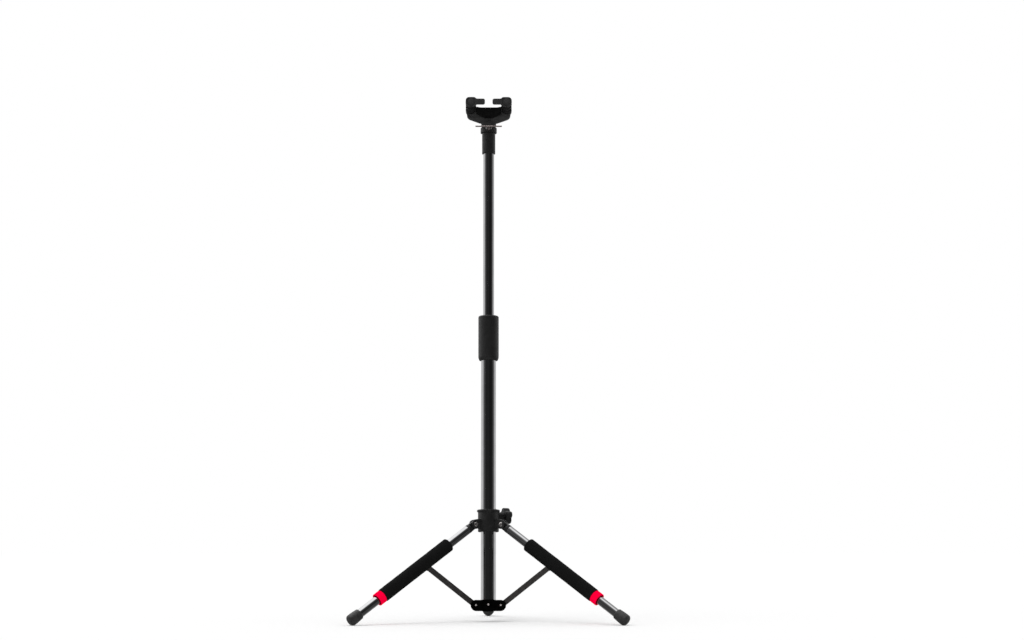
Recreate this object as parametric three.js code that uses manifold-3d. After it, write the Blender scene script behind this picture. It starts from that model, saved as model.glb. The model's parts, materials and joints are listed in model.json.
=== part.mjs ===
// A folding floor stand that holds a cello by its neck.
// Millimetres, +Z up, the front of the stand faces -Y, the floor is at Z = 0.
// The stand is drawn upright round its shaft, with X to the right and Z up the shaft,
// and the finished group is leaned back at the end.
import * as THREE from "three";
import { mergeVertices } from "three/addons/utils/BufferGeometryUtils.js";
import Module from "manifold-3d";

const wasm = await Module();
wasm.setup();

// Clearances and tools
const gap = 0.3; // left between pieces that touch
const overrun = 4; // how far a cutting tool runs past the face it cuts
const runningGap = 0.3; // round a pin or a spindle that turns
const roundSides = 18; // on tubes and sleeves
const sleeveSides = 14; // on the ribbed arm sleeves
const smallSides = 10; // on pins, rivets and eyes
const lobeSides = 12; // on the knob
const bendSegments = 6; // on the curves of the plate and the pad

// Stance
const leanDegrees = 5; // the shaft leans back by this
const legSpreadDegrees = 60; // each front leg, away from straight ahead
const legAngleDegrees = 54.4; // each leg, away from the shaft
const frontReach = 332.5; // shaft axis to where a front foot meets the floor

// Shaft
const outerTubeRadius = 17;
const outerTubeWall = 1.5;
const outerTubeBottom = 27;
const outerTubeTop = 640;
const innerTubeRadius = 12.5;
const innerTubeWall = 1.5;
const innerTubeBottom = 300;
const innerTubeTop = 1110;
const bushLength = 30;
const bushInset = 6;

// Lower hub
const hubHeight = 35.5; // height of the lower brace pivots
const hubPivotReach = 35;
const hubPlateThickness = 3;
const hubPlateHeight = 23;
const hubPlateWidth = 78;
const hubSleeveWall = 4;
const hubSleeveHeight = 20;
const hubEarRadius = 8;
const hubEarThickness = 3;
const sideRivetRadius = 2.4;
const centreRivetRadius = 3.1;
const centreRivetRise = 1.2; // above the side rivets
const rivetShankRadius = 2;
const rivetHeadHeight = 1.6;
const rivetCrownShares = { radius: 0.75, height: 0.8 }; // where the dome of the head starts
const plugFlange = 1.6;
const plugLength = 22;

// Leg collar
const legPivotReach = 36;
const collarWall = 6;
const collarAbovePivot = 34;
const collarBelowPivot = 15;
const collarLipHeight = 5;
const collarLipDepth = 2.2;
const collarEarRadius = 9;
const collarEarThickness = 4;
const collarEarRiseShare = 1.6; // of the ear's radius, where it meets the wall
const legPinRadius = 3;
const legPinHeadRadius = 5;
const legPinHeadHeight = 1.8;
const pinCrownShare = 0.7; // of a head's radius, where its flat top starts

// Collar knob
const knobAzimuthDegrees = 30;
const knobRise = 21; // above the leg pivots
const knobBossRadius = 9;
const knobBossReach = 31;
const knobStemRadius = 3.5;
const knobRadius = 17;
const knobLobeRadius = 5.5;
const knobLobes = 5;
const knobLobeCrownShare = 0.7;
const knobThickness = 15;
const knobHubRadius = 8;
const knobHubLength = 6;

// Legs
const legTubeRadius = 9.5;
const legTubeWall = 1.5;
const tongueThickness = 8;
const tongueEyeRadius = 8.5;
const knuckleNeckStart = 14; // down the leg from its pivot
const knuckleNeckLength = 7;
const knucklePlugLength = 22;
const footRadius = 13;
const footTopRadius = 11.8;
const footEndRadius = 8;
const footLength = 32;
const footChamfer = 5;
const footShoulder = 4;
const footFlat = 0.7; // depth of the flat that the foot stands on
const footSocketDepth = 18;
const bareTubeLength = 51; // between a front foot and its ring
const ringLength = 16;
const ringBoreGap = 1; // round the leg tube
const ringRadius = 13.8;
const ringRound = 1.6;
const foamRadius = 14.25;
const foamStart = 80; // down the leg from its pivot
const foamRound = 2.2;
const foamSlitWidth = 11;

// Braces and the lugs that they hang from
const lugDistance = 151.5; // down the leg from its pivot
const lugDrop = 15.5; // from the leg's axis to the lug's pivot
const lugLength = 18;
const lugEarThickness = 1.8;
const lugEarRadius = 4.4;
const lugBaseThickness = 1.6;
const lugPinRadius = 2.2;
const lugPinHeadRadius = 3.4;
const lugPinHeadHeight = 1.1;
const braceThickness = 3;
const braceWidth = 10;

// Height clutch on top of the outer tube
const clutchRadius = 23;
const clutchWall = 3;
const clutchBelow = 58; // below the top of the outer tube
const clutchAbove = 44; // above it
const clutchRound = 6;
const clutchPlateThickness = 3;
const clutchPlateRadius = 17.5;
const clutchPlateClearance = 1.2; // round the inner tube
const clutchPlateTiltDegrees = 6;
const clutchPlateRise = 16; // above the top of the outer tube
const clutchSpringRadius = 15.6;
const clutchSpringWire = 0.9;
const clutchSpringCurls = 5;
const leverLength = 74;
const leverWidth = 20;
const leverThickness = 4;
const leverEarThickness = 4;
const leverEarReach = 15;
const leverKick = 14; // how far its free end stands back from its pin
const leverPinRadius = 2.5;
const leverEarDrop = 9; // of the housing's ears, below the pin
const leverNoseThickness = 3;
const leverNoseWidth = 8;
const leverNoseTravel = 3; // room above the nose in its slot
const leverBevel = 1;
const leverPinHeadShare = 1.5; // of the pin's radius
const leverBossShares = { top: 2, heel: 2.4 }; // of the pin's radius
const leverBendShare = 0.4; // of its length, where it turns away from the housing

// Yoke
const yokeLevel = 1155.5; // height of the two arms
const armSpacing = 80; // between their axes
const armTubeRadius = 6.5;
const armBoreRadius = 4.3;
const armReach = 91; // shaft axis to the front end of an arm
const armInset = 17; // of an arm, inside the housing
const sleeveRadius = 10.7;
const sleeveGroove = 1.1;
const sleeveSegments = 4;
const sleeveRibShares = { start: 0.22, end: 0.78 }; // of a segment
const sleeveEndRound = 2;
const housingFront = 23;
const housingBack = 3;
const housingSideMargin = 9.6; // beyond the axes of the arms
const housingTop = 8; // round the arms
const housingSaddle = 1; // between the arms
const housingSaddleHalfWidth = 28;
const housingSideDrop = 17.6;
const housingNeckHalfWidth = 16.8;
const housingNeckDrop = 29.4;
const housingCorner = 6;
const housingBevel = 1.5;
const barrelRadius = 17;
const barrelDrop = 36;
const barrelTop = 3;
const barrelFootChamfer = 1;
const barrelCrownChamfer = 3;
const ceilingThickness = 4;
const chinDrop = 12; // where the sloping underside of the housing starts
const chinDepth = 12;
const padHalfWidth = 28;
const padTop = 6.2;
const padDip = 5.2; // of its top edge in the middle
const padBottom = 11;
const padNeckDrop = 21; // of its bottom edge in the middle
const padNeckHalfWidth = 9;
const padThickness = 4.5;
const padHollow = 2.4;
const postRadius = 9;
const postTop = 19; // below the level of the arms
const socketRadius = 15;
const socketLength = 62;
const socketRound = 2;
const springWire = 0.8;
const springRadius = 6.2;
const springCurls = 5;

// Gates
const gateHalfSize = 10.6;
const gateCorner = 6;
const gateThickness = 6.4;
const gateFingerHeight = 12.3;
const gateFingerReach = 31.5; // arm axis to the finger's tip
const gateSpindleRadius = 4;
const gateSpindleLength = 50;
const gateRound = 1.6;
const gateCapRadius = 6;
const gateCapThickness = 1.4;

// Bow holder
const bowBarLevel = 44; // below the level of the arms
const bowBarWidth = 60;
const bowBarRadius = 1.6;
const bowBarReach = 44; // shaft axis to the cross bar
const bowClampWall = 3.2;
const bowClampHeight = 12;
const bowHingeReach = 24.5;
const bowHingeEarRadius = 4.2;
const bowHingeEarThickness = 2.4;
const bowHingePinRadius = 1.5;
const bowPinHeadShare = 1.7; // of the pin's radius
const bowHingeWidth = 5;

const radians = THREE.MathUtils.degToRad;
const lean = radians(leanDegrees);
const legAngle = radians(legAngleDegrees);
const legSpread = radians(legSpreadDegrees);

// Closed meshes and manifold solids
function solidOf(geometry) {
  const bare = geometry.clone();
  bare.deleteAttribute("normal");
  bare.deleteAttribute("uv");
  const merged = mergeVertices(bare);
  return new wasm.Manifold(
    new wasm.Mesh({
      numProp: 3,
      vertProperties: merged.attributes.position.array,
      triVerts: new Uint32Array(merged.index.array),
    }),
  );
}

function geometryOf(solid) {
  const mesh = solid.getMesh();
  const geometry = new THREE.BufferGeometry();
  geometry.setAttribute("position", new THREE.BufferAttribute(mesh.vertProperties, mesh.numProp));
  geometry.setIndex(new THREE.BufferAttribute(mesh.triVerts, 1));
  geometry.computeVertexNormals();
  return geometry;
}

function cut(geometry, ...tools) {
  return geometryOf(tools.reduce((solid, tool) => solid.subtract(solidOf(tool)), solidOf(geometry)));
}

function join(geometry, ...others) {
  return geometryOf(others.reduce((solid, other) => solid.add(solidOf(other)), solidOf(geometry)));
}

function common(geometry, other) {
  return geometryOf(solidOf(geometry).intersect(solidOf(other)));
}

// Basic shapes, all drawn round or along the Z axis
function revolve(points, sides = roundSides) {
  const profile = points.map(([r, z]) => new THREE.Vector2(r, z));
  return new THREE.LatheGeometry(profile, sides).rotateX(Math.PI / 2);
}

function rod(radius, bottom, top, sides = smallSides) {
  return new THREE.CylinderGeometry(radius, radius, top - bottom, sides)
    .rotateX(Math.PI / 2)
    .translate(0, 0, (top + bottom) / 2);
}

function tube(outer, inner, bottom, top, sides = roundSides) {
  return revolve([[inner, bottom], [outer, bottom], [outer, top], [inner, top], [inner, bottom]], sides);
}

function block(width, depth, height) {
  return new THREE.BoxGeometry(width, depth, height);
}

// A flat plate in the XZ plane with its thickness along Y, centred on Y = 0
function plate(shape, thickness, bevel = 0, curveSegments = 3) {
  return new THREE.ExtrudeGeometry(shape, {
    depth: thickness - 2 * bevel,
    bevelEnabled: bevel > 0,
    bevelSize: bevel,
    bevelThickness: bevel,
    bevelOffset: -bevel,
    bevelSegments: 1,
    curveSegments,
  })
    .translate(0, 0, bevel - thickness / 2)
    .rotateX(Math.PI / 2);
}

// A bar of the given width between two eyes, its ends rounded
function stadium(fromX, fromZ, toX, toZ, radius) {
  const along = Math.atan2(toZ - fromZ, toX - fromX);
  const shape = new THREE.Shape();
  shape.absarc(fromX, fromZ, radius, along + Math.PI / 2, along + (3 * Math.PI) / 2);
  shape.absarc(toX, toZ, radius, along - Math.PI / 2, along + Math.PI / 2);
  shape.closePath();
  return shape;
}

// A closed outline whose corners are rounded
function roundedOutline(points, radius) {
  const corners = points.map(([x, z]) => new THREE.Vector2(x, z));
  const shape = new THREE.Shape();
  corners.forEach((corner, i) => {
    const before = corners[(i + corners.length - 1) % corners.length];
    const after = corners[(i + 1) % corners.length];
    const reach = Math.min(radius, corner.distanceTo(before) / 2, corner.distanceTo(after) / 2);
    const start = corner.clone().add(before.clone().sub(corner).setLength(reach));
    const end = corner.clone().add(after.clone().sub(corner).setLength(reach));
    if (i === 0) shape.moveTo(start.x, start.y);
    else shape.lineTo(start.x, start.y);
    shape.quadraticCurveTo(corner.x, corner.y, end.x, end.y);
  });
  shape.closePath();
  return shape;
}

// A pin along Y with a head at one or both ends
function pinAcross(radius, halfLength, headRadius, headHeight, heads = [-1, 1]) {
  const shank = rod(radius, -halfLength, halfLength);
  const caps = heads.map((side) =>
    revolve([
      [0, 0],
      [headRadius, 0],
      [headRadius, headHeight / 2],
      [headRadius * pinCrownShare, headHeight],
      [0, headHeight],
    ], smallSides)
      .translate(0, 0, halfLength)
      .rotateX(side > 0 ? 0 : Math.PI),
  );
  return join(shank, ...caps).rotateX(Math.PI / 2);
}

// A compression spring, one unbroken tube with flat closed ends left plain
function coil(radius, wire, bottom, top, curls) {
  const stepsPerCurl = 7;
  const steps = stepsPerCurl * curls;
  const points = Array.from({ length: steps + 1 }, (_, i) => {
    const turn = (2 * Math.PI * i) / stepsPerCurl;
    const share = i / steps;
    return new THREE.Vector3(
      radius * Math.cos(turn),
      radius * Math.sin(turn),
      bottom + wire + (top - bottom - 2 * wire) * share,
    );
  });
  const shape = new THREE.Shape();
  const wireSides = 4;
  for (let i = 0; i < wireSides; i++) {
    const angle = (2 * Math.PI * i) / wireSides;
    if (i === 0) shape.moveTo(wire * Math.cos(angle), wire * Math.sin(angle));
    else shape.lineTo(wire * Math.cos(angle), wire * Math.sin(angle));
  }
  shape.closePath();
  return new THREE.ExtrudeGeometry(shape, {
    steps,
    extrudePath: new THREE.CatmullRomCurve3(points),
  });
}

// Finishes
function finish(color, roughness, metalness) {
  return new THREE.MeshStandardMaterial({ color, roughness, metalness });
}

const coatedSteel = () => finish(0x2b2c2e, 0.22, 0.6);
const matteSteel = () => finish(0x050505, 0.7, 0.1);
const braceSteel = () => finish(0x262627, 0.5, 0.3);
const rivetSteel = () => finish(0xa8a4a2, 0.35, 1);
const foam = () => finish(0x151515, 0.95, 0);
const redRubber = () => finish(0xff0038, 0.55, 0);
const footRubber = () => finish(0x333333, 0.8, 0);
const blackPlastic = () => finish(0x1c1c1c, 0.55, 0);
const yokeRubber = () => finish(0x232323, 0.75, 0);
const barSteel = () => finish(0x8f8686, 0.3, 1);

const stand = new THREE.Group();

function piece(name, geometry, material, parent = stand) {
  const mesh = new THREE.Mesh(geometry, material);
  mesh.name = name;
  parent.add(mesh);
  return mesh;
}

// Where the legs and braces lie
// In a leg's own plane X runs outwards from the shaft and Z up it.
const cosLeg = Math.cos(legAngle);
const sinLeg = Math.sin(legAngle);
const floorDip = footFlat / Math.cos(lean);
const frontSlope = -Math.cos(legSpread) * Math.tan(lean);
const rearSlope = Math.tan(lean);
const frontContact = (frontReach - legPivotReach + footRadius * cosLeg) / sinLeg;
const legPivotHeight = frontSlope * frontReach - floorDip + frontContact * cosLeg + footRadius * sinLeg;
const rearContact =
  (legPivotHeight - footRadius * sinLeg + floorDip - rearSlope * (legPivotReach - footRadius * cosLeg)) /
  (cosLeg + rearSlope * sinLeg);
const frontLegLength = frontContact + footChamfer;
const rearLegLength = rearContact + footChamfer;
const lugPoint = new THREE.Vector2(
  legPivotReach + lugDistance * sinLeg - lugDrop * cosLeg,
  legPivotHeight - lugDistance * cosLeg - lugDrop * sinLeg,
);
const hubPoint = new THREE.Vector2(hubPivotReach, hubHeight);
const braceLength = lugPoint.distanceTo(hubPoint);
const braceAngle = Math.atan2(lugPoint.x - hubPoint.x, lugPoint.y - hubPoint.y);

const legs = [
  {
    name: "left",
    azimuth: Math.PI + Math.PI / 2 - legSpread,
    side: -1,
    length: frontLegLength,
    padded: true,
  },
  { name: "right", azimuth: legSpread - Math.PI / 2, side: 1, length: frontLegLength, padded: true },
  { name: "rear", azimuth: Math.PI / 2, side: 1, length: rearLegLength, padded: false },
];

// Shaft
const outerTubeBore = outerTubeRadius - outerTubeWall;
const innerTubeBore = innerTubeRadius - innerTubeWall;
const bushInner = innerTubeRadius + gap;
const bushOuter = outerTubeBore - gap;

function makeShaft() {
  piece(
    "shaft_outer_tube",
    tube(outerTubeRadius, outerTubeBore, outerTubeBottom, outerTubeTop),
    coatedSteel(),
  );
  piece(
    "shaft_end_plug",
    revolve([
      [0, outerTubeBottom - gap - plugFlange],
      [outerTubeRadius - plugFlange / 2, outerTubeBottom - gap - plugFlange],
      [outerTubeRadius, outerTubeBottom - gap - plugFlange / 2],
      [outerTubeRadius, outerTubeBottom - gap],
      [outerTubeBore - gap, outerTubeBottom - gap],
      [outerTubeBore - gap, outerTubeBottom + plugLength],
      [0, outerTubeBottom + plugLength],
    ]),
    blackPlastic(),
  );
  piece(
    "shaft_upper_bush",
    tube(bushOuter, bushInner, outerTubeTop - bushInset - bushLength, outerTubeTop - bushInset),
    blackPlastic(),
  );
  piece(
    "shaft_inner_tube",
    tube(innerTubeRadius, innerTubeBore, innerTubeBottom, innerTubeTop),
    coatedSteel(),
  );
  piece(
    "shaft_lower_bush",
    tube(bushOuter, bushInner, innerTubeBottom + bushInset, innerTubeBottom + bushInset + bushLength),
    blackPlastic(),
  );
}

// Lower hub
// Its front plate is bent so that each wing lies beside a front brace and parallel to it.
const wingInner = braceThickness / 2 + gap;
const wingOuter = wingInner + hubPlateThickness;
const plateBack = outerTubeRadius + gap;
const plateFront = plateBack + hubPlateThickness;

// Top view of a point at a distance out along a front leg and sideways from its plane
function besideLeg(reach, sideways, mirror) {
  return [
    mirror * (reach * Math.sin(legSpread) - sideways * Math.cos(legSpread)),
    -reach * Math.cos(legSpread) - sideways * Math.sin(legSpread),
  ];
}

function hubPlate() {
  const bendFront = (plateFront - wingOuter * Math.sin(legSpread)) / Math.cos(legSpread);
  const bendBack = (plateBack - wingInner * Math.sin(legSpread)) / Math.cos(legSpread);
  const wingEnd = hubPlateWidth / Math.sin(legSpread) / 2 + overrun;
  const outline = [
    besideLeg(wingEnd, wingOuter, -1),
    besideLeg(bendFront, wingOuter, -1),
    besideLeg(bendFront, wingOuter, 1),
    besideLeg(wingEnd, wingOuter, 1),
    besideLeg(wingEnd, wingInner, 1),
    besideLeg(bendBack, wingInner, 1),
    besideLeg(bendBack, wingInner, -1),
    besideLeg(wingEnd, wingInner, -1),
  ];
  const shape = new THREE.Shape(outline.map(([x, y]) => new THREE.Vector2(x, y)));
  const strip = new THREE.ExtrudeGeometry(shape, {
    depth: hubPlateHeight,
    bevelEnabled: false,
  }).translate(0, 0, hubHeight - hubPlateHeight / 2);
  const endRadius = hubPlateHeight / 2;
  const endCentre = hubPlateWidth / 2 - endRadius;
  const front = plate(
    stadium(-endCentre, hubHeight, endCentre, hubHeight, endRadius),
    2 * hubPlateWidth,
    0,
    bendSegments,
  );
  const rivetHoles = [-1, 1].map((mirror) => hubRivetTool(mirror, rivetShankRadius + gap));
  const centreHole = rod(rivetShankRadius + gap, -plateFront - overrun, -plateBack + overrun)
    .rotateX(-Math.PI / 2)
    .translate(0, 0, hubHeight + centreRivetRise);
  return cut(common(strip, front), ...rivetHoles, centreHole);
}

// Turns something drawn beside the leg plane of a front leg into its place
function intoLegPlane(geometry, mirror) {
  const azimuth = mirror < 0 ? legs[0].azimuth : legs[1].azimuth;
  return geometry.rotateZ(azimuth);
}

function hubRivetTool(mirror, radius) {
  return intoLegPlane(
    rod(radius, wingInner - overrun, wingOuter + overrun)
      .rotateX(mirror < 0 ? -Math.PI / 2 : Math.PI / 2)
      .translate(hubPivotReach, 0, hubHeight),
    mirror,
  );
}

function rivet(headRadius, shankLength) {
  return revolve([
    [0, -shankLength],
    [rivetShankRadius, -shankLength],
    [rivetShankRadius, gap],
    [headRadius, gap],
    [headRadius, gap + rivetHeadHeight / 3],
    [headRadius * rivetCrownShares.radius, gap + rivetHeadHeight * rivetCrownShares.height],
    [0, gap + rivetHeadHeight],
  ], smallSides);
}

// The casting round the foot of the shaft: a sleeve with an ear behind each front brace
// and a fork for the rear one. Its front is cut flat for the plate.
function hubCasting() {
  const bottom = hubHeight - hubSleeveHeight / 2;
  const sleeveBore = outerTubeRadius + gap;
  const sleeve = tube(sleeveBore + hubSleeveWall, sleeveBore, bottom, bottom + hubSleeveHeight);
  const reachIn = outerTubeRadius + gap + hubSleeveWall / 2;
  const ear = (sideways) =>
    plate(
      roundedOutline(
        [
          [reachIn, hubHeight - hubEarRadius],
          [hubPivotReach + hubEarRadius, hubHeight - hubEarRadius],
          [hubPivotReach + hubEarRadius, hubHeight + hubEarRadius],
          [reachIn, hubHeight + hubEarRadius],
        ],
        hubEarRadius,
      ),
      hubEarThickness,
    ).translate(0, sideways, 0);
  const offset = braceThickness / 2 + gap + hubEarThickness / 2;
  const ears = legs.flatMap((leg) => {
    const sides = leg.padded ? [leg.side] : [-1, 1];
    return sides.map((side) => ear(side * offset).rotateZ(leg.azimuth));
  });
  const frontCut = block(4 * hubPlateWidth, hubPlateWidth, 2 * hubPlateHeight)
    .translate(0, -plateBack + gap - hubPlateWidth / 2, hubHeight);
  const solid = cut(sleeve, frontCut);
  const rearRivetHole = rod(rivetShankRadius + gap, 0, offset + hubEarThickness + overrun)
    .rotateX(-Math.PI / 2)
    .translate(hubPivotReach, 0, hubHeight)
    .rotateZ(legs[2].azimuth);
  return cut(join(solid, ...ears), rearRivetHole);
}

function makeHub() {
  piece("lower_hub", hubCasting(), matteSteel());
  piece("hub_front_plate", hubPlate(), matteSteel());
  for (const mirror of [-1, 1]) {
    const geometry = rivet(sideRivetRadius, hubPlateThickness)
      .translate(0, 0, wingOuter)
      .rotateX(mirror < 0 ? -Math.PI / 2 : Math.PI / 2)
      .translate(hubPivotReach, 0, hubHeight);
    piece(mirror < 0 ? "hub_rivet_left" : "hub_rivet_right", intoLegPlane(geometry, mirror), rivetSteel());
  }
  piece(
    "hub_rivet_centre",
    rivet(centreRivetRadius, hubPlateThickness)
      .translate(0, 0, plateFront)
      .rotateX(Math.PI / 2)
      .translate(0, 0, hubHeight + centreRivetRise),
    rivetSteel(),
  );
  const earOuter = braceThickness / 2 + gap + hubEarThickness;
  piece(
    "hub_rivet_rear",
    rivet(sideRivetRadius, hubEarThickness)
      .translate(0, 0, earOuter)
      .rotateX(-Math.PI / 2)
      .translate(hubPivotReach, 0, hubHeight)
      .rotateZ(legs[2].azimuth),
    rivetSteel(),
  );
}

// Leg collar
const collarInner = outerTubeRadius + gap;
const collarOuter = collarInner + collarWall;
const knobAzimuth = radians(knobAzimuthDegrees);
const knobHeight = legPivotHeight + knobRise;
const tongueSide = tongueThickness / 2 + gap;
const clevisSide = tongueSide + collarEarThickness;

function collar() {
  const bottom = legPivotHeight - collarBelowPivot;
  const top = legPivotHeight + collarAbovePivot;
  const sleeve = revolve([
    [collarInner, bottom],
    [collarOuter, bottom],
    [collarOuter, top - collarLipHeight],
    [collarOuter + collarLipDepth, top - collarLipHeight],
    [collarOuter + collarLipDepth, top - collarLipDepth],
    [collarOuter, top],
    [collarInner, top],
    [collarInner, bottom],
  ]);
  const reachIn = collarInner + collarWall / 2;
  const earShape = roundedOutline(
    [
      [reachIn, legPivotHeight - collarEarRadius],
      [legPivotReach + collarEarRadius, legPivotHeight - collarEarRadius],
      [legPivotReach + collarEarRadius, legPivotHeight + collarEarRadius],
      [reachIn, legPivotHeight + collarEarRadius * collarEarRiseShare],
    ],
    collarEarRadius,
  );
  const ears = legs.flatMap((leg) =>
    [-1, 1].map((side) =>
      plate(earShape, collarEarThickness)
        .translate(0, side * (tongueSide + collarEarThickness / 2), 0)
        .rotateZ(leg.azimuth),
    ),
  );
  const pinHoles = legs.map((leg) =>
    rod(legPinRadius + gap, -clevisSide - overrun, clevisSide + overrun)
      .rotateX(Math.PI / 2)
      .translate(legPivotReach, 0, legPivotHeight)
      .rotateZ(leg.azimuth),
  );
  const boss = rod(knobBossRadius, reachIn, knobBossReach)
    .rotateY(Math.PI / 2)
    .translate(0, 0, knobHeight)
    .rotateZ(knobAzimuth);
  const stemHole = rod(knobStemRadius + runningGap, 0, knobBossReach + overrun)
    .rotateY(Math.PI / 2)
    .translate(0, 0, knobHeight)
    .rotateZ(knobAzimuth);
  return cut(join(sleeve, ...ears, boss), ...pinHoles, stemHole);
}

// A star knob on its clamping screw, drawn along Z and laid along X
function knob() {
  const core = revolve([
    [0, 0],
    [knobRadius - knobLobeRadius / 2, 0],
    [knobRadius - knobLobeRadius / 2, knobThickness - knobLobeRadius / 3],
    [knobRadius - knobLobeRadius, knobThickness],
    [0, knobThickness],
  ], smallSides);
  const lobes = Array.from({ length: knobLobes }, (_, i) =>
    revolve([
      [0, 0],
      [knobLobeRadius, 0],
      [knobLobeRadius, knobThickness - knobLobeRadius / 3],
      [knobLobeRadius * knobLobeCrownShare, knobThickness],
      [0, knobThickness],
    ], lobeSides)
      .translate(knobRadius - knobLobeRadius / 2, 0, 0)
      .rotateZ((2 * Math.PI * i) / knobLobes),
  );
  const headStart = knobBossReach + gap + knobHubLength;
  const hub = rod(knobHubRadius, -knobHubLength, 0);
  const stem = rod(knobStemRadius, collarInner + gap - headStart, knobThickness / 2);
  return join(core, ...lobes, hub, stem)
    .translate(0, 0, headStart)
    .rotateY(Math.PI / 2)
    .translate(0, 0, knobHeight)
    .rotateZ(knobAzimuth);
}

function makeCollar() {
  piece("leg_collar", collar(), blackPlastic());
  piece("collar_knob", knob(), blackPlastic());
  for (const leg of legs) {
    piece(
      "leg_pin_" + leg.name,
      pinAcross(legPinRadius, clevisSide + gap, legPinHeadRadius, legPinHeadHeight)
        .translate(legPivotReach, 0, legPivotHeight)
        .rotateZ(leg.azimuth),
      rivetSteel(),
    );
  }
}

// Legs, drawn from the pivot down -Z with the underside towards -X
function knuckle() {
  const bore = legTubeRadius - legTubeWall - gap;
  const tongue = plate(stadium(0, 0, 0, -knuckleNeckStart - gap, tongueEyeRadius), tongueThickness);
  const neck = rod(legTubeRadius, -knuckleNeckStart - knuckleNeckLength, -knuckleNeckStart, roundSides);
  const plug = rod(bore, -knuckleNeckStart - knuckleNeckLength - knucklePlugLength, -knuckleNeckStart);
  const hole = rod(legPinRadius + runningGap, -tongueThickness, tongueThickness).rotateX(Math.PI / 2);
  return cut(join(tongue, neck, plug), hole);
}

function foot() {
  const top = footLength;
  const socket = legTubeRadius + gap;
  return revolve([
    [0, 0],
    [footEndRadius, 0],
    [footRadius, footChamfer],
    [footRadius, footLength / 2],
    [footTopRadius, top - footShoulder / 2],
    [footTopRadius - footShoulder / 3, top],
    [socket, top],
    [socket, top - footSocketDepth],
    [0, top - footSocketDepth],
  ]);
}

function foamSleeve(from, to) {
  const inner = legTubeRadius + gap;
  const sleeve = revolve([
    [inner, -to],
    [foamRadius - foamRound, -to],
    [foamRadius, -to + foamRound],
    [foamRadius, -from - foamRound],
    [foamRadius - foamRound, -from],
    [inner, -from],
    [inner, -to],
  ]);
  const slit = block(foamRadius, foamSlitWidth, to - from + 2 * overrun)
    .translate(-foamRadius / 2 - legTubeRadius / 2, 0, -(from + to) / 2);
  return cut(sleeve, slit);
}

function ring(from, to) {
  const inner = legTubeRadius + ringBoreGap;
  return revolve([
    [inner, -to],
    [ringRadius - ringRound, -to],
    [ringRadius, -to + ringRound],
    [ringRadius, -from - ringRound],
    [ringRadius - ringRound, -from],
    [inner, -from],
    [inner, -to],
  ]);
}

// The lug that a brace hangs from: a small channel under the leg tube
function lug() {
  const seat = legTubeRadius + gap;
  const earSide = braceThickness / 2 + gap;
  const width = 2 * (earSide + lugEarThickness);
  const middle = -seat - lugBaseThickness / 2;
  const base = block(lugBaseThickness, width, lugLength).translate(middle, 0, -lugDistance);
  const earShape = roundedOutline(
    [
      [-seat - lugBaseThickness / 2, -lugDistance - lugLength / 2],
      [-seat - lugBaseThickness / 2, -lugDistance + lugLength / 2],
      [-lugDrop - lugEarRadius, -lugDistance + lugEarRadius],
      [-lugDrop - lugEarRadius, -lugDistance - lugEarRadius],
    ],
    lugEarRadius,
  );
  const ears = [-1, 1].map((side) =>
    plate(earShape, lugEarThickness).translate(0, side * (earSide + lugEarThickness / 2), 0),
  );
  const hole = rod(lugPinRadius + gap, -width, width)
    .rotateX(Math.PI / 2)
    .translate(-lugDrop, 0, -lugDistance);
  const braceRoom = plate(
    stadium(-lugDrop, -lugDistance, -lugDrop, -lugDistance - lugLength, braceWidth / 2 + gap),
    braceThickness + 2 * gap,
  );
  return cut(join(base, ...ears), hole, braceRoom);
}

function brace() {
  const bar = plate(stadium(0, 0, 0, -braceLength, braceWidth / 2), braceThickness);
  const eye = rod(lugPinRadius + runningGap, -braceThickness, braceThickness).rotateX(Math.PI / 2);
  return cut(bar, eye);
}

// The floor as a cutter, in the plane of one leg's group
function floorTool(legGroup) {
  const size = 2 * frontReach;
  legGroup.updateWorldMatrix(true, false);
  return block(2 * size, 2 * size, size)
    .translate(0, 0, -size / 2)
    .rotateX(lean)
    .applyMatrix4(legGroup.matrixWorld.clone().invert());
}

function makeLeg(leg) {
  const plane = new THREE.Group();
  plane.rotation.z = leg.azimuth;
  stand.add(plane);
  const group = new THREE.Group();
  group.position.set(legPivotReach, 0, legPivotHeight);
  group.rotation.y = -legAngle;
  plane.add(group);

  const footTop = leg.length - footLength;
  const tubeStart = knuckleNeckStart + knuckleNeckLength + gap;
  const tubeEnd = footTop + footSocketDepth - gap;
  piece("leg_knuckle_" + leg.name, knuckle(), blackPlastic(), group);
  piece(
    "leg_tube_" + leg.name,
    tube(legTubeRadius, legTubeRadius - legTubeWall, -tubeEnd, -tubeStart),
    coatedSteel(),
    group,
  );
  const footGeometry = foot().translate(0, 0, -leg.length);
  piece("foot_" + leg.name, cut(footGeometry, floorTool(group)), footRubber(), group);
  if (leg.padded) {
    const ringEnd = footTop - bareTubeLength;
    const foamEnd = ringEnd - ringLength - gap;
    piece("foam_sleeve_" + leg.name, foamSleeve(foamStart, foamEnd), foam(), group);
    piece("sleeve_ring_" + leg.name, ring(ringEnd - ringLength, ringEnd), redRubber(), group);
  }
  piece("brace_lug_" + leg.name, lug(), braceSteel(), group);
  piece(
    "brace_pin_" + leg.name,
    pinAcross(
      lugPinRadius,
      braceThickness / 2 + gap + lugEarThickness + gap,
      lugPinHeadRadius,
      lugPinHeadHeight,
    ).translate(-lugDrop, 0, -lugDistance),
    braceSteel(),
    group,
  );

  const braceGroup = new THREE.Group();
  braceGroup.position.set(lugPoint.x, 0, lugPoint.y);
  braceGroup.rotation.y = braceAngle;
  plane.add(braceGroup);
  piece("brace_" + leg.name, brace(), braceSteel(), braceGroup);
}

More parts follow.
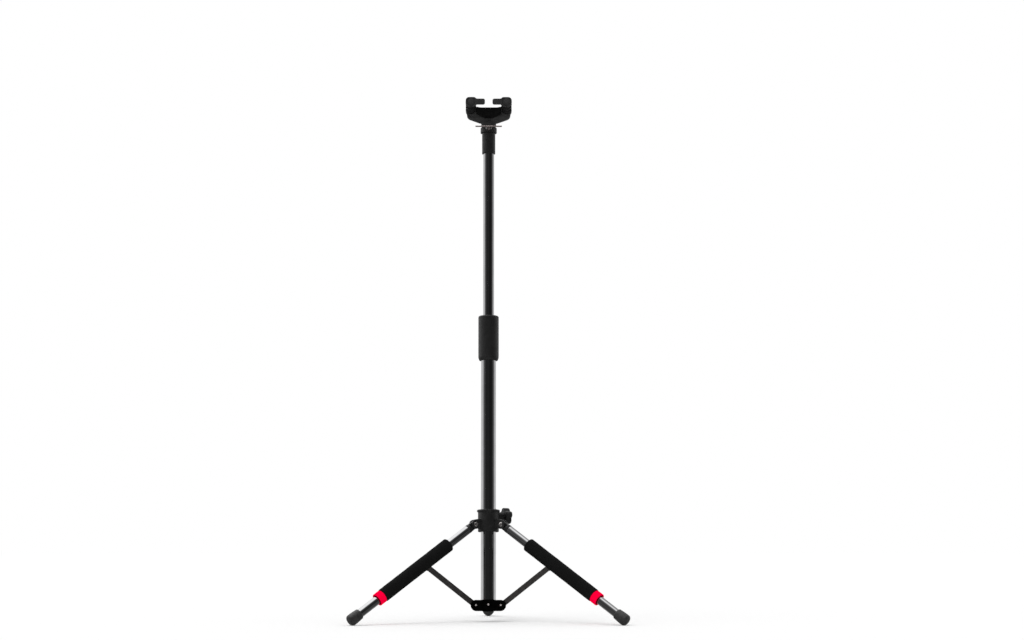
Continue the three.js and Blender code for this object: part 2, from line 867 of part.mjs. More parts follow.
// Height clutch
const clutchTop = outerTubeTop + clutchAbove;
const clutchBottom = outerTubeTop - clutchBelow;
const plateTilt = radians(clutchPlateTiltDegrees);
const plateLevel = outerTubeTop + clutchPlateRise;
const plateRim = clutchPlateRadius * Math.sin(plateTilt) + clutchPlateThickness / 2;
const leverPinHeight = plateLevel - plateRim - gap - leverNoseThickness / 2;
const leverPinReach = clutchRadius + leverEarReach - leverEarDrop;

function clutchHousing() {
  const tubeSeat = outerTubeRadius + gap;
  const innerSeat = innerTubeRadius + gap;
  const cavity = clutchRadius - clutchWall;
  const shell = revolve([
    [tubeSeat, clutchBottom],
    [clutchRadius - clutchRound / 2, clutchBottom],
    [clutchRadius, clutchBottom + clutchRound],
    [clutchRadius, clutchTop - clutchRound],
    [clutchRadius - clutchRound, clutchTop],
    [innerSeat, clutchTop],
    [innerSeat, clutchTop - clutchWall],
    [cavity, clutchTop - clutchWall - clutchRound / 2],
    [cavity, outerTubeTop + gap],
    [tubeSeat, outerTubeTop + gap],
    [tubeSeat, clutchBottom],
  ]);
  const earOuter = leverWidth / 2 + gap + leverEarThickness;
  const earStart = Math.sqrt(clutchRadius ** 2 - earOuter ** 2) - clutchWall / 3;
  const earShape = roundedOutline(
    [
      [earStart, leverPinHeight - leverEarDrop],
      [clutchRadius + leverEarReach, leverPinHeight - leverEarDrop / 2],
      [clutchRadius + leverEarReach, leverPinHeight + leverEarDrop / 2],
      [earStart, leverPinHeight + leverEarDrop / 2],
    ],
    leverEarDrop / 2,
  );
  const ears = [-1, 1].map((side) =>
    plate(earShape, leverEarThickness).translate(0, side * (earOuter - leverEarThickness / 2), 0),
  );
  const hole = rod(leverPinRadius + gap, -earOuter - overrun, earOuter + overrun)
    .rotateX(Math.PI / 2)
    .translate(leverPinReach, 0, leverPinHeight);
  const noseRoom = leverNoseThickness + gap + leverNoseTravel;
  const slot = block(clutchWall + 2 * overrun, leverNoseWidth + 2 * gap, noseRoom)
    .translate(
      clutchRadius - clutchWall / 2,
      0,
      leverPinHeight - leverNoseThickness / 2 - gap + noseRoom / 2,
    );
  return cut(join(shell, ...ears), hole, slot).rotateZ(Math.PI / 2);
}

// The squeeze lever hangs from its pin behind the clutch. Its nose goes in through the slot
// and under the rear edge of the tilted plate that grips the inner tube.
function clutchLever() {
  const bossTop = leverPinRadius * leverBossShares.top;
  const heel = leverPinRadius * leverBossShares.heel;
  const bend = leverLength * leverBendShare;
  const outline = roundedOutline(
    [
      [leverPinReach - bossTop, leverPinHeight + bossTop],
      [leverPinReach + bossTop, leverPinHeight + bossTop],
      [leverPinReach + heel, leverPinHeight - bend],
      [leverPinReach + leverKick, leverPinHeight - leverLength],
      [leverPinReach + leverKick - leverThickness, leverPinHeight - leverLength],
      [leverPinReach + heel - leverThickness, leverPinHeight - bend],
    ],
    leverThickness,
  );
  const hole = rod(leverPinRadius + runningGap, -leverWidth, leverWidth)
    .rotateX(Math.PI / 2)
    .translate(leverPinReach, 0, leverPinHeight);
  const noseTip = innerTubeRadius + leverNoseThickness;
  const nose = block(leverPinReach - noseTip, leverNoseWidth, leverNoseThickness)
    .translate((leverPinReach + noseTip) / 2, 0, leverPinHeight);
  return cut(join(plate(outline, leverWidth, leverBevel), nose), hole).rotateZ(Math.PI / 2);
}

function clutchPlate() {
  const bore = innerTubeRadius + clutchPlateClearance;
  const washer = tube(clutchPlateRadius, bore, -clutchPlateThickness / 2, clutchPlateThickness / 2);
  return washer.rotateX(-plateTilt).translate(0, 0, plateLevel);
}

function makeClutch() {
  piece("clutch_housing", clutchHousing(), blackPlastic());
  piece("clutch_plate", clutchPlate(), rivetSteel());
  const springTop = clutchTop - clutchWall - clutchRound / 2;
  piece(
    "clutch_spring",
    coil(
      clutchSpringRadius,
      clutchSpringWire,
      plateLevel + plateRim + clutchSpringWire,
      springTop,
      clutchSpringCurls,
    ),
    rivetSteel(),
  );
  piece("clutch_lever", clutchLever(), blackPlastic());
  piece(
    "clutch_lever_pin",
    pinAcross(
      leverPinRadius,
      leverWidth / 2 + gap + leverEarThickness + gap,
      leverPinRadius * leverPinHeadShare,
      leverPinRadius / 2,
    )
      .translate(leverPinReach, 0, leverPinHeight)
      .rotateZ(Math.PI / 2),
    rivetSteel(),
  );
}

// Yoke
const armX = armSpacing / 2;
const housingHalfWidth = armX + housingSideMargin;
const armBack = -housingFront + armInset;

// Turns something drawn along Z into something along -Y, at an arm
function alongArm(geometry, side) {
  return geometry.rotateX(Math.PI / 2).translate(side * armX, 0, yokeLevel);
}

function yokeHousing() {
  const z = (drop) => yokeLevel - drop;
  const outline = roundedOutline(
    [
      [-housingHalfWidth, z(-housingTop)],
      [-housingHalfWidth, z(housingSideDrop)],
      [-housingNeckHalfWidth, z(housingNeckDrop)],
      [housingNeckHalfWidth, z(housingNeckDrop)],
      [housingHalfWidth, z(housingSideDrop)],
      [housingHalfWidth, z(-housingTop)],
      [housingSaddleHalfWidth, z(-housingTop)],
      [housingSaddleHalfWidth - housingCorner, z(-housingSaddle)],
      [housingCorner - housingSaddleHalfWidth, z(-housingSaddle)],
      [-housingSaddleHalfWidth, z(-housingTop)],
    ],
    housingCorner,
  );
  const depth = housingFront - housingBack;
  const body = plate(outline, depth, housingBevel).translate(0, -(housingFront + housingBack) / 2, 0);
  const chin = block(4 * armX, chinDepth * 2, 2 * barrelDrop)
    .translate(0, -chinDepth, -barrelDrop)
    .rotateX(Math.atan2(chinDepth, housingNeckDrop - chinDrop))
    .translate(0, -housingFront, z(chinDrop));
  const barrel = revolve([
    [0, z(barrelDrop)],
    [barrelRadius - barrelFootChamfer, z(barrelDrop)],
    [barrelRadius, z(barrelDrop - barrelFootChamfer)],
    [barrelRadius, z(barrelCrownChamfer - barrelTop)],
    [barrelRadius - barrelCrownChamfer, z(-barrelTop)],
    [0, z(-barrelTop)],
  ]);
  const ceiling = z(ceilingThickness - barrelTop);
  const bore = rod(postRadius + runningGap, z(barrelDrop + overrun), ceiling, roundSides);
  const sockets = [-1, 1].map((side) =>
    alongArm(rod(armTubeRadius + gap, -armBack, housingFront + overrun, roundSides), side),
  );
  return cut(join(cut(body, chin), barrel), bore, ...sockets);
}

function armSleeve() {
  const from = housingFront + gap;
  const to = armReach + gap;
  const segment = (to - from) / sleeveSegments;
  const points = [[armTubeRadius + gap, from]];
  for (let i = 0; i < sleeveSegments; i++) {
    const start = from + i * segment;
    points.push([sleeveRadius - sleeveGroove, start]);
    points.push([sleeveRadius, start + segment * sleeveRibShares.start]);
    points.push([sleeveRadius, start + segment * sleeveRibShares.end]);
  }
  points.push([sleeveRadius - sleeveGroove, to - gap]);
  points.push([sleeveRadius - sleeveEndRound * 2, to]);
  points.push([armTubeRadius + gap, to]);
  points.push([armTubeRadius + gap, from]);
  return revolve(points, sleeveSides);
}

// A dished pad across the front of the housing, its top edge dipping where the neck lies
function cradlePad() {
  const front = new THREE.Shape();
  front.moveTo(-padHalfWidth, yokeLevel + padTop);
  front.quadraticCurveTo(0, yokeLevel + padTop - 2 * padDip, padHalfWidth, yokeLevel + padTop);
  front.lineTo(padHalfWidth, yokeLevel - padBottom);
  front.lineTo(padNeckHalfWidth, yokeLevel - padNeckDrop);
  front.lineTo(-padNeckHalfWidth, yokeLevel - padNeckDrop);
  front.lineTo(-padHalfWidth, yokeLevel - padBottom);
  front.closePath();
  const middle = -housingFront - gap - padThickness / 2;
  const outline = plate(front, padThickness, 0, bendSegments).translate(0, middle, 0);
  const hollowRadius = (padHalfWidth ** 2 + padHollow ** 2) / (2 * padHollow);
  const hollow = rod(hollowRadius, yokeLevel - 2 * padNeckDrop, yokeLevel + 2 * padTop, 4 * roundSides)
    .translate(0, -housingFront - gap - padThickness + padHollow - hollowRadius, 0);
  return cut(outline, hollow);
}

function yokeSocket() {
  const shoulder = yokeLevel - barrelDrop - gap;
  const bottom = shoulder - socketLength;
  const seat = innerTubeTop + gap;
  return revolve([
    [innerTubeRadius + gap, bottom],
    [socketRadius, bottom],
    [socketRadius, shoulder - socketRound],
    [socketRadius - socketRound / 2, shoulder],
    [postRadius, shoulder],
    [postRadius, yokeLevel - postTop],
    [0, yokeLevel - postTop],
    [0, seat],
    [innerTubeRadius + gap, seat],
    [innerTubeRadius + gap, bottom],
  ]);
}

// A gate: a round hub on the end of its arm, a finger towards the middle and a long spindle
function gate(side) {
  const finger = roundedOutline(
    [
      [0, -gateFingerHeight / 2],
      [-side * gateFingerReach, -gateFingerHeight / 2],
      [-side * gateFingerReach, gateFingerHeight / 2],
      [0, gateFingerHeight / 2],
    ],
    gateFingerHeight / 3,
  );
  const back = armReach + 2 * gap;
  const front = back + gateThickness;
  const bar = plate(finger, gateThickness, gateRound)
    .translate(0, -(back + front) / 2, 0);
  const hubOutline = roundedOutline(
    [
      [-gateHalfSize, -gateHalfSize],
      [gateHalfSize, -gateHalfSize],
      [gateHalfSize, gateHalfSize],
      [-gateHalfSize, gateHalfSize],
    ],
    gateCorner,
  );
  const hub = plate(hubOutline, gateThickness, gateRound).translate(0, -(back + front) / 2, 0);
  const spindleEnd = back + gateThickness / 2;
  const spindle = rod(gateSpindleRadius, back - gateSpindleLength, spindleEnd).rotateX(Math.PI / 2);
  return join(hub, bar, spindle).translate(side * armX, 0, yokeLevel);
}

function makeYoke() {
  piece("yoke_housing", yokeHousing(), yokeRubber());
  piece("cradle_pad", cradlePad(), yokeRubber());
  piece("yoke_socket", yokeSocket(), blackPlastic());
  piece(
    "yoke_spring",
    coil(
      springRadius,
      springWire,
      yokeLevel - postTop + gap,
      yokeLevel + barrelTop - ceilingThickness - gap,
      springCurls,
    ),
    rivetSteel(),
  );
  for (const side of [-1, 1]) {
    const name = side < 0 ? "left" : "right";
    piece(
      "arm_tube_" + name,
      alongArm(tube(armTubeRadius, armBoreRadius, -armBack + gap, armReach), side),
      coatedSteel(),
    );
    piece("arm_sleeve_" + name, alongArm(armSleeve(), side), yokeRubber());
    piece("gate_" + name, gate(side), yokeRubber());
    const capBack = armReach + 3 * gap + gateThickness;
    piece(
      "gate_cap_" + name,
      alongArm(
        revolve([
          [0, capBack],
          [gateCapRadius, capBack],
          [gateCapRadius, capBack + gateCapThickness / 2],
          [gateCapRadius - gateCapThickness / 2, capBack + gateCapThickness],
          [0, capBack + gateCapThickness],
        ]),
        side,
      ),
      blackPlastic(),
    );
  }
}

// Bow holder
const bowLevel = yokeLevel - bowBarLevel;
const bowClampInner = socketRadius + gap;
const bowClampOuter = bowClampInner + bowClampWall;

function bowClamp() {
  const bottom = bowLevel - bowClampHeight / 2;
  const sleeve = tube(bowClampOuter, bowClampInner, bottom, bottom + bowClampHeight);
  const earShape = roundedOutline(
    [
      [bowClampInner + bowClampWall / 2, bowLevel - bowHingeEarRadius],
      [bowHingeReach + bowHingeEarRadius, bowLevel - bowHingeEarRadius],
      [bowHingeReach + bowHingeEarRadius, bowLevel + bowHingeEarRadius],
      [bowClampInner + bowClampWall / 2, bowLevel + bowHingeEarRadius],
    ],
    bowHingeEarRadius,
  );
  const offset = bowHingeWidth / 2 + gap + bowHingeEarThickness / 2;
  const ears = [-1, 1].map((side) => plate(earShape, bowHingeEarThickness).translate(0, side * offset, 0));
  const reach = offset + bowHingeEarThickness;
  const hole = rod(bowHingePinRadius + gap, -reach, reach)
    .rotateX(Math.PI / 2)
    .translate(bowHingeReach, 0, bowLevel);
  return cut(join(sleeve, ...ears), hole).rotateZ(-Math.PI / 2);
}

// A T of round bar: an eye at the hinge, a stem forward and the cross bar
function bowBar() {
  const eye = rod(bowHingeEarRadius - gap, -bowHingeWidth / 2, bowHingeWidth / 2).rotateX(Math.PI / 2)
    .translate(bowHingeReach, 0, bowLevel);
  const stem = rod(bowBarRadius, bowHingeReach, bowBarReach).rotateY(Math.PI / 2).translate(0, 0, bowLevel);
  const cross = rod(bowBarRadius, -bowBarWidth / 2, bowBarWidth / 2).rotateX(Math.PI / 2)
    .translate(bowBarReach, 0, bowLevel);
  const hole = rod(bowHingePinRadius + runningGap, -bowHingeWidth, bowHingeWidth).rotateX(Math.PI / 2)
    .translate(bowHingeReach, 0, bowLevel);
  return cut(join(eye, stem, cross), hole).rotateZ(-Math.PI / 2);
}

function makeBowHolder() {
  piece("bow_holder_clamp", bowClamp(), blackPlastic());
  piece("bow_holder_bar", bowBar(), barSteel());
  const offset = bowHingeWidth / 2 + gap + bowHingeEarThickness + gap;
  piece(
    "bow_holder_pin",
    pinAcross(bowHingePinRadius, offset, bowHingePinRadius * bowPinHeadShare, bowHingePinRadius / 2)
      .translate(bowHingeReach, 0, bowLevel)
      .rotateZ(-Math.PI / 2),
    rivetSteel(),
  );
}

makeShaft();
makeHub();
makeCollar();
legs.forEach(makeLeg);
makeClutch();
makeYoke();
makeBowHolder();

// Lean the stand back and put the middle of its footprint at the origin
const part = new THREE.Group();
part.add(stand);
stand.rotation.x = -lean;
part.updateMatrixWorld(true);
const footprint = new THREE.Box3().setFromObject(part, true);
stand.position.set(0, -(footprint.min.y + footprint.max.y) / 2, -footprint.min.z);

export default part;
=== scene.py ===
import json
import math

import bmesh
import bpy
import numpy as np
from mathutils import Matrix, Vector


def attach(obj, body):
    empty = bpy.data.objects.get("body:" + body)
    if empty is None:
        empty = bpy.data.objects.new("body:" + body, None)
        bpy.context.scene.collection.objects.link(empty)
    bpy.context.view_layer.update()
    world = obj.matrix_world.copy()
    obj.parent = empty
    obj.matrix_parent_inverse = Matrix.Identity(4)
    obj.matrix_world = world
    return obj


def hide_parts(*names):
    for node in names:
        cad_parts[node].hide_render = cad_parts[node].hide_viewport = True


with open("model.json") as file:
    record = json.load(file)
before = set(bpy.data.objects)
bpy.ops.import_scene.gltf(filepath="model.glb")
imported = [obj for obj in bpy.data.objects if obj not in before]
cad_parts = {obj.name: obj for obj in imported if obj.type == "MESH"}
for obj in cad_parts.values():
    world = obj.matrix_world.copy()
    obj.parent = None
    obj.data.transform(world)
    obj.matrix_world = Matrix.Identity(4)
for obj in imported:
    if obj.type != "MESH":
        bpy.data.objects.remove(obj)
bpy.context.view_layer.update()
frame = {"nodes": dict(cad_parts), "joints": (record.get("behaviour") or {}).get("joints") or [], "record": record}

scene = bpy.context.scene
mm = 0.001
gap = 0.3  # running clearance, in millimetres
print("stage: frame loaded,", len(frame["nodes"]), "nodes")


# Where things are, read from the frame

joints = {joint["name"]: joint for joint in frame["joints"]}


def unit(vector):
    return vector / np.linalg.norm(vector)


def jointPlace(name):
    return np.array(joints[name]["pos_m"], float)


def meshPoints(mesh):
    points = np.empty(len(mesh.vertices) * 3)
    mesh.vertices.foreach_get("co", points)
    return points.reshape(-1, 3)


def nodePoints(name):
    return meshPoints(frame["nodes"][name].data)


class Place:
    # an origin and three axes; points in millimetres go out to metres in the frame and back
    def __init__(self, origin, x, y, z):
        self.origin = np.array(origin, float)
        self.axes = np.array([x, y, z], float)

    def out(self, points):
        return self.origin + (np.asarray(points, float) * mm) @ self.axes

    def back(self, points):
        return ((np.asarray(points, float) - self.origin) @ self.axes.T) / mm

    def turned(self, degrees):
        # the same place turned about its own z axis
        angle = math.radians(degrees)
        x, y, z = self.axes
        return Place(self.origin, x * math.cos(angle) + y * math.sin(angle),
                     y * math.cos(angle) - x * math.sin(angle), z)

    def moved(self, x, y, z):
        return Place(self.out([[x, y, z]])[0], *self.axes)

    def laid(self, zAxis, xAxis=(0, 0, 1)):
        # a place with the same origin whose z and x lie along two directions of this one
        z = unit(np.array(zAxis, float) @ self.axes)
        x = np.array(xAxis, float) @ self.axes
        x = unit(x - z * (x @ z))
        return Place(self.origin, x, np.cross(z, x), z)


slide = np.array(joints["collar_slide"]["axis"], float)
shaftUp = unit(slide * np.sign(slide[2]))
legNames = ["left", "right", "rear"]
pivotMiddle = sum(jointPlace("leg_fold_" + name) for name in legNames) / len(legNames)
shaftFoot = pivotMiddle - shaftUp * (pivotMiddle[2] / shaftUp[2])
across = np.array([1.0, 0.0, 0.0])
# X to the right, Y to the back square to the shaft, Z up the shaft
shaft = Place(shaftFoot, across, np.cross(shaftUp, across), shaftUp)


def legPlace(name):
    # at a leg's pivot: Z up along the leg, X square to it on its upper side
    pivot = jointPlace("leg_fold_" + name)
    up = unit(pivot - nodePoints("leg_tube_" + name).mean(0))
    tangent = unit(np.cross(shaftUp, pivot - shaftFoot))
    return Place(pivot, np.cross(tangent, up), tangent, up)


def roundSizes(node, place):
    # a round node's outer and inner radius, and its two ends along the place's Z
    points = place.back(nodePoints(node))
    reach = np.hypot(points[:, 0], points[:, 1])
    return reach.max(), reach.min(), points[:, 2].min(), points[:, 2].max()


def corners(node, place):
    points = place.back(nodePoints(node))
    return points.min(0), points.max(0)


def middleOf(node, place):
    return sum(corners(node, place)) / 2


# Materials: a socket with the usual arithmetic, and one method that adds any node

class Channel:
    def __init__(self, finish, socket):
        self.finish = finish
        self.socket = socket

    def math(self, operation, *values):
        return self.finish.node("Math", {"operation": operation}, dict(enumerate(values)))

    def __add__(self, other):
        return self.math("ADD", self, other)

    def __sub__(self, other):
        return self.math("SUBTRACT", self, other)

    def __rsub__(self, other):
        return self.math("SUBTRACT", other, self)

    def __mul__(self, other):
        return self.math("MULTIPLY", self, other)

    __radd__ = __add__
    __rmul__ = __mul__

    def step(self, low, high):
        # 0 below low, 1 above high, and an eased rise between them
        return self.finish.node("MapRange", {"interpolation_type": "SMOOTHSTEP"},
                                {"Value": self, "From Min": low, "From Max": high}, "Result")


class Finish:
    def __init__(self, owner):
        owner.use_nodes = True
        self.tree = owner.node_tree
        self.tree.nodes.clear()

    def node(self, kind, settings=None, values=None, output=0):
        made = self.tree.nodes.new("ShaderNode" + kind)
        for name, setting in (settings or {}).items():
            setattr(made, name, setting)
        for name, value in (values or {}).items():
            if isinstance(value, Channel):
                self.tree.links.new(value.socket, made.inputs[name])
            else:
                made.inputs[name].default_value = value
        return Channel(self, made.outputs[output]) if len(made.outputs) else None

    def noise(self, place, scale, detail=2.0, roughness=0.5):
        return self.node("TexNoise", {"noise_dimensions": "3D"},
                         {"Vector": place, "Scale": scale, "Detail": detail, "Roughness": roughness})

    def pick(self, amount, low, high):
        # a colour between two, by an amount
        return self.node("Mix", {"data_type": "RGBA"}, {0: amount, 6: low, 7: high}, 2)

    def axes(self, output):
        # the three numbers of a texture coordinate
        split = self.node("SeparateXYZ", None, {0: self.node("TexCoord", output=output)}).socket.node
        return [Channel(self, split.outputs[axis]) for axis in "XYZ"]

    def surface(self, colour, roughness, height, depth, distance, metallic=0.0, gloss=0.5):
        facts = {"Strength": depth, "Distance": distance, "Height": height}
        relief = self.node("Bump", None, facts, "Normal")
        shader = self.node("BsdfPrincipled", None, {
            "Base Color": colour, "Roughness": roughness, "Metallic": metallic, "Normal": relief,
            "Specular IOR Level": gloss})
        self.node("OutputMaterial", None, {"Surface": shader})


def shade(tone):
    # a grey or a colour as it shows on a screen, 0 to 255, made linear
    shown = np.broadcast_to(tone, 3) / 255
    linear = np.where(shown <= 0.04045, shown / 12.92, ((shown + 0.055) / 1.055) ** 2.4)
    return (*linear.tolist(), 1.0)


finishes = {
    "darkChrome": {"tones": ((162, 162, 163), (168, 168, 169)), "metallic": 1.0, "rough": (0.08, 0.13),
                   "mottle": 60, "grain": 900, "depth": 0.015},
    "hubCoat": {"tones": (1, 4), "rough": (0.66, 0.78), "mottle": 120, "grain": 2600, "depth": 0.12,
                "gloss": 0.04, "wear": 12},
    "bracePaint": {"tones": ((42, 39, 38), (51, 48, 47)), "rough": (0.42, 0.55), "mottle": 90,
                   "grain": 2200, "depth": 0.06, "wear": 74},
    "platedSteel": {"tones": ((206, 200, 197), (226, 222, 219)), "metallic": 1.0, "rough": (0.26, 0.38),
                    "mottle": 400, "grain": 3000, "depth": 0.05},
    "rivetZinc": {"tones": ((168, 160, 158), (196, 190, 188)), "metallic": 0.3, "rough": (0.42, 0.54),
                  "mottle": 700, "grain": 4200, "depth": 0.08},
    "springSteel": {"tones": (120, 150), "metallic": 1.0, "rough": (0.3, 0.42), "mottle": 200,
                    "grain": 2400, "depth": 0.05},
    "barSteel": {"tones": ((168, 156, 154), (186, 174, 171)), "metallic": 1.0, "rough": (0.32, 0.44),
                 "mottle": 180, "grain": 2600, "depth": 0.05},
    "blackPlastic": {"tones": (22, 28), "rough": (0.46, 0.58), "mottle": 70, "grain": 1500, "depth": 0.16,
                     "wear": 46},
    "capPlastic": {"tones": (40, 48), "rough": (0.5, 0.62), "mottle": 160, "grain": 2400, "depth": 0.1,
                   "gloss": 0.35},
    "yokeRubber": {"tones": (39, 46), "rough": (0.58, 0.72), "mottle": 60, "grain": 1800, "depth": 0.12,
                   "gloss": 0.35},
    # the sleeves' rubber is the yoke's rubber painted darker: painted shade of the sleeves, which sit in the
    # housing's shade
    "sleeveRubberPaintedShade": {"tones": (26, 32), "rough": (0.6, 0.74), "mottle": 90, "grain": 2000, "depth": 0.12,
                     "gloss": 0.02},
    # the pad's rubber is darker than the yoke's: partly its own black, partly painted shade of the recessed cradle
    "padBlackAndPaintedShade": {"tones": (8, 13), "rough": (0.7, 0.82), "mottle": 80, "grain": 1600, "depth": 0.16,
                  "gloss": 0.1},
    "footRubber": {"tones": (37, 46), "rough": (0.46, 0.60), "mottle": 80, "grain": 1400, "depth": 0.14,
                   "scuff": (66, 64, 62), "scuffTop": 0.006},
    "redRubber": {"tones": ((250, 0, 55), (255, 0, 62)), "rough": (0.74, 0.86), "mottle": 120,
                  "grain": 1500, "depth": 0.06, "gloss": 0.0},
}


def surfaceFinish(name):
    # two close colours mottled by a slow noise, roughness by another, and a fine grain as relief;
    # bare high spots where the grain is highest, and scuffs near the floor, where the finish has them
    facts = finishes[name]
    material = bpy.data.materials.new(name)
    finish = Finish(material)
    place = finish.node("TexCoord", output="Object")
    mottle = finish.noise(place, facts["mottle"], 4.0)
    patches = finish.noise(place, facts["mottle"] * 2.7, 3.0, 0.6)
    grain = finish.noise(place, facts["grain"], 3.0, 0.55)
    colour = finish.pick(mottle.step(0.35, 0.65), *[shade(tone) for tone in facts["tones"]])
    if "wear" in facts:
        rubbed = patches.step(0.66, 0.78) * grain.step(0.45, 0.7) * 0.5
        colour = finish.pick(rubbed, colour, shade(facts["wear"]))
    if "scuff" in facts:
        height = finish.axes("Object")[2]
        scuffed = (1 - height.step(0.0, facts["scuffTop"])) * patches.step(0.35, 0.7) * 0.8
        colour = finish.pick(scuffed, colour, shade(facts["scuff"]))
    least, most = facts["rough"]
    roughness = patches.step(0.3, 0.7) * (most - least) + least
    finish.surface(colour, roughness, grain, facts["depth"], 0.0002, facts.get("metallic", 0.0),
                   facts.get("gloss", 0.5))
    return material


foamFinish = {"dark": shade(13), "light": shade(22), "pores": 1500, "skin": 160, "depth": 0.28, "gloss": 0.12}


def foamMaterial():
    # closed-cell foam: small cells with pits between them, the pits painted darker as shade in their hollows;
    # a slow unevenness of the skin, hardly any gloss
    material = bpy.data.materials.new("gripFoam")
    finish = Finish(material)
    place = finish.node("TexCoord", output="Object")
    cells = finish.node("TexVoronoi", {"feature": "F1"}, {"Vector": place, "Scale": foamFinish["pores"]})
    skin = finish.noise(place, foamFinish["skin"], 4.0)
    fine = finish.noise(place, foamFinish["pores"] * 1.7, 2.0)
    pits = cells.step(0.15, 0.6)
    # the pits' share of the tone is painted shade in the hollows between cells
    tone = pits * 0.35 + skin * 0.5 + fine * 0.15
    colour = finish.pick(tone.step(0.25, 0.75), foamFinish["light"], foamFinish["dark"])
    height = (1 - pits) * 0.7 + fine * 0.3 + skin * 0.8
    finish.surface(colour, skin * 0.12 + 0.86, height, foamFinish["depth"], 0.0003, gloss=foamFinish["gloss"])
    return material


materials = {name: surfaceFinish(name) for name in finishes}
materials["gripFoam"] = foamMaterial()
print("stage: materials made")


# Shapes, all as whole arrays

def gridFaces(rows, columns, wrapRows=False, wrapColumns=False):
    # four corners between neighbouring rows and columns, joined round where asked
    row = np.arange(rows if wrapRows else rows - 1)[:, None]
    column = np.arange(columns if wrapColumns else columns - 1)[None, :]
    nextRow = (row + 1) % rows
    nextColumn = (column + 1) % columns
    quads = [row * columns + column, row * columns + nextColumn,
             nextRow * columns + nextColumn, nextRow * columns + column]
    return np.stack(np.broadcast_arrays(*quads), -1).reshape(-1, 4).tolist()


def softened(points, radius, steps=5, closed=True):
    # each corner gives way to a curve from a point before it, A, to one after it, B:
    # (1-t)^2 A + 2t(1-t) corner + t^2 B; the radius is one value or one for each corner
    points = np.array(points, float)
    ways = [np.roll(points, shift, 0) - points for shift in (1, -1)]
    lengths = [np.linalg.norm(way, axis=1) for way in ways]
    reach = np.minimum(radius, np.minimum(*lengths) * 0.48)
    if not closed:
        reach[[0, -1]] = 0
    start, end = [points + way * (reach / np.maximum(length, 1e-9))[:, None]
                  for way, length in zip(ways, lengths)]
    t = np.linspace(0, 1, steps + 1)[None, :, None]
    curve = (1 - t) ** 2 * start[:, None] + 2 * t * (1 - t) * points[:, None] + t ** 2 * end[:, None]
    line = curve.reshape(-1, 2)
    keep = np.linalg.norm(line - np.roll(line, 1, 0), axis=1) > 1e-6
    keep[0] = keep[0] or not closed
    return line[keep]


def revolved(profile, sides=72, turn=lambda angle, radius: radius):
    # radius and height of a profile carried round the Z axis: (r cos a, r sin a, h)
    profile = np.asarray(profile, float)
    angle = np.linspace(0, 2 * math.pi, sides, endpoint=False)[:, None]
    radius = turn(angle, profile[None, :, 0])
    height = np.broadcast_to(profile[None, :, 1], (sides, len(profile)))
    grid = np.stack([radius * np.cos(angle), radius * np.sin(angle), height], -1)
    poles = profile[0, 0] < 1e-9 and profile[-1, 0] < 1e-9
    return grid.reshape(-1, 3), gridFaces(sides, len(profile), True, not poles)


def box(x, z, toX, toZ, soft):
    # a rectangle's outline with soft corners
    return softened([[x, z], [toX, z], [toX, toZ], [x, toZ]], soft)


def tubeRound(outer, inner, bottom, top, soft=0.5, sides=72):
    # a wall between two radii with softened rims
    return revolved(box(inner, bottom, outer, top, min(soft, (outer - inner) * 0.45)), sides)


def rodRound(radius, bottom, top, soft=0.4, sides=48):
    # a solid bar whose two end faces meet its side in a soft edge
    line = [[0, bottom], [radius, bottom], [radius, top], [0, top]]
    return revolved(softened(line, [0, soft, soft, 0], closed=False), sides)


def slab(outline, low, high, soft=0.6, steps=4):
    # an outline in X and Z given a thickness along Y, its rims rounded: at each step across the
    # thickness the outline lies further in by soft (1 - sin t), as deep as soft (1 - cos t)
    outline = np.asarray(outline, float)
    area = np.sum(outline[:, 0] * np.roll(outline[:, 1], -1) - np.roll(outline[:, 0], -1) * outline[:, 1])
    if area < 0:
        outline = outline[::-1]
    ahead = np.roll(outline, -1, 0) - outline
    ahead /= np.linalg.norm(ahead, axis=1)[:, None]
    behind = np.roll(ahead, 1, 0)
    normal = np.stack([ahead[:, 1] + behind[:, 1], -ahead[:, 0] - behind[:, 0]], -1)
    normal /= np.linalg.norm(normal, axis=1)[:, None]
    normal /= np.maximum((normal * np.stack([ahead[:, 1], -ahead[:, 0]], -1)).sum(1), 0.5)[:, None]
    t = np.linspace(0, math.pi / 2, steps + 1)
    inset = np.concatenate([[1.35], 1 - np.sin(t), 1 - np.sin(t[::-1]), [1.35]]) * soft
    rise = soft * (1 - np.cos(t))
    depth = np.concatenate([[low], low + rise, high - rise[::-1], [high]])
    ring = outline[None] - normal[None] * inset[:, None, None]
    grid = np.stack([ring[..., 0], np.broadcast_to(depth[:, None], ring.shape[:2]), ring[..., 1]], -1)
    count = len(outline)
    return grid.reshape(-1, 3), capped(gridFaces(len(inset), count, False, True), len(inset), count)


def capped(faces, rings, count):
    # a skin of rings closed by its first and last ring
    last = (rings - 1) * count
    return faces + [list(range(count)), list(range(last, last + count))]


def carried(section, path, side):
    # a closed section carried along a path: path + side * u + (tangent x side) * v
    path = np.asarray(path, float)
    tangent = np.gradient(path, axis=0)
    tangent /= np.linalg.norm(tangent, axis=1)[:, None]
    side = np.broadcast_to(np.asarray(side, float), path.shape)
    side = side - tangent * (side * tangent).sum(1)[:, None]
    side = side / np.linalg.norm(side, axis=1)[:, None]
    upright = np.cross(tangent, side)
    section = np.broadcast_to(section, (len(path), *np.shape(section)[-2:]))
    grid = path[:, None] + side[:, None] * section[..., :1] + upright[:, None] * section[..., 1:]
    count = section.shape[1]
    return grid.reshape(-1, 3), capped(gridFaces(len(path), count, False, True), len(path), count)


def circle(radius, sides=24):
    angle = np.linspace(0, 2 * math.pi, sides, endpoint=False)
    return np.stack([radius * np.cos(angle), radius * np.sin(angle)], -1)


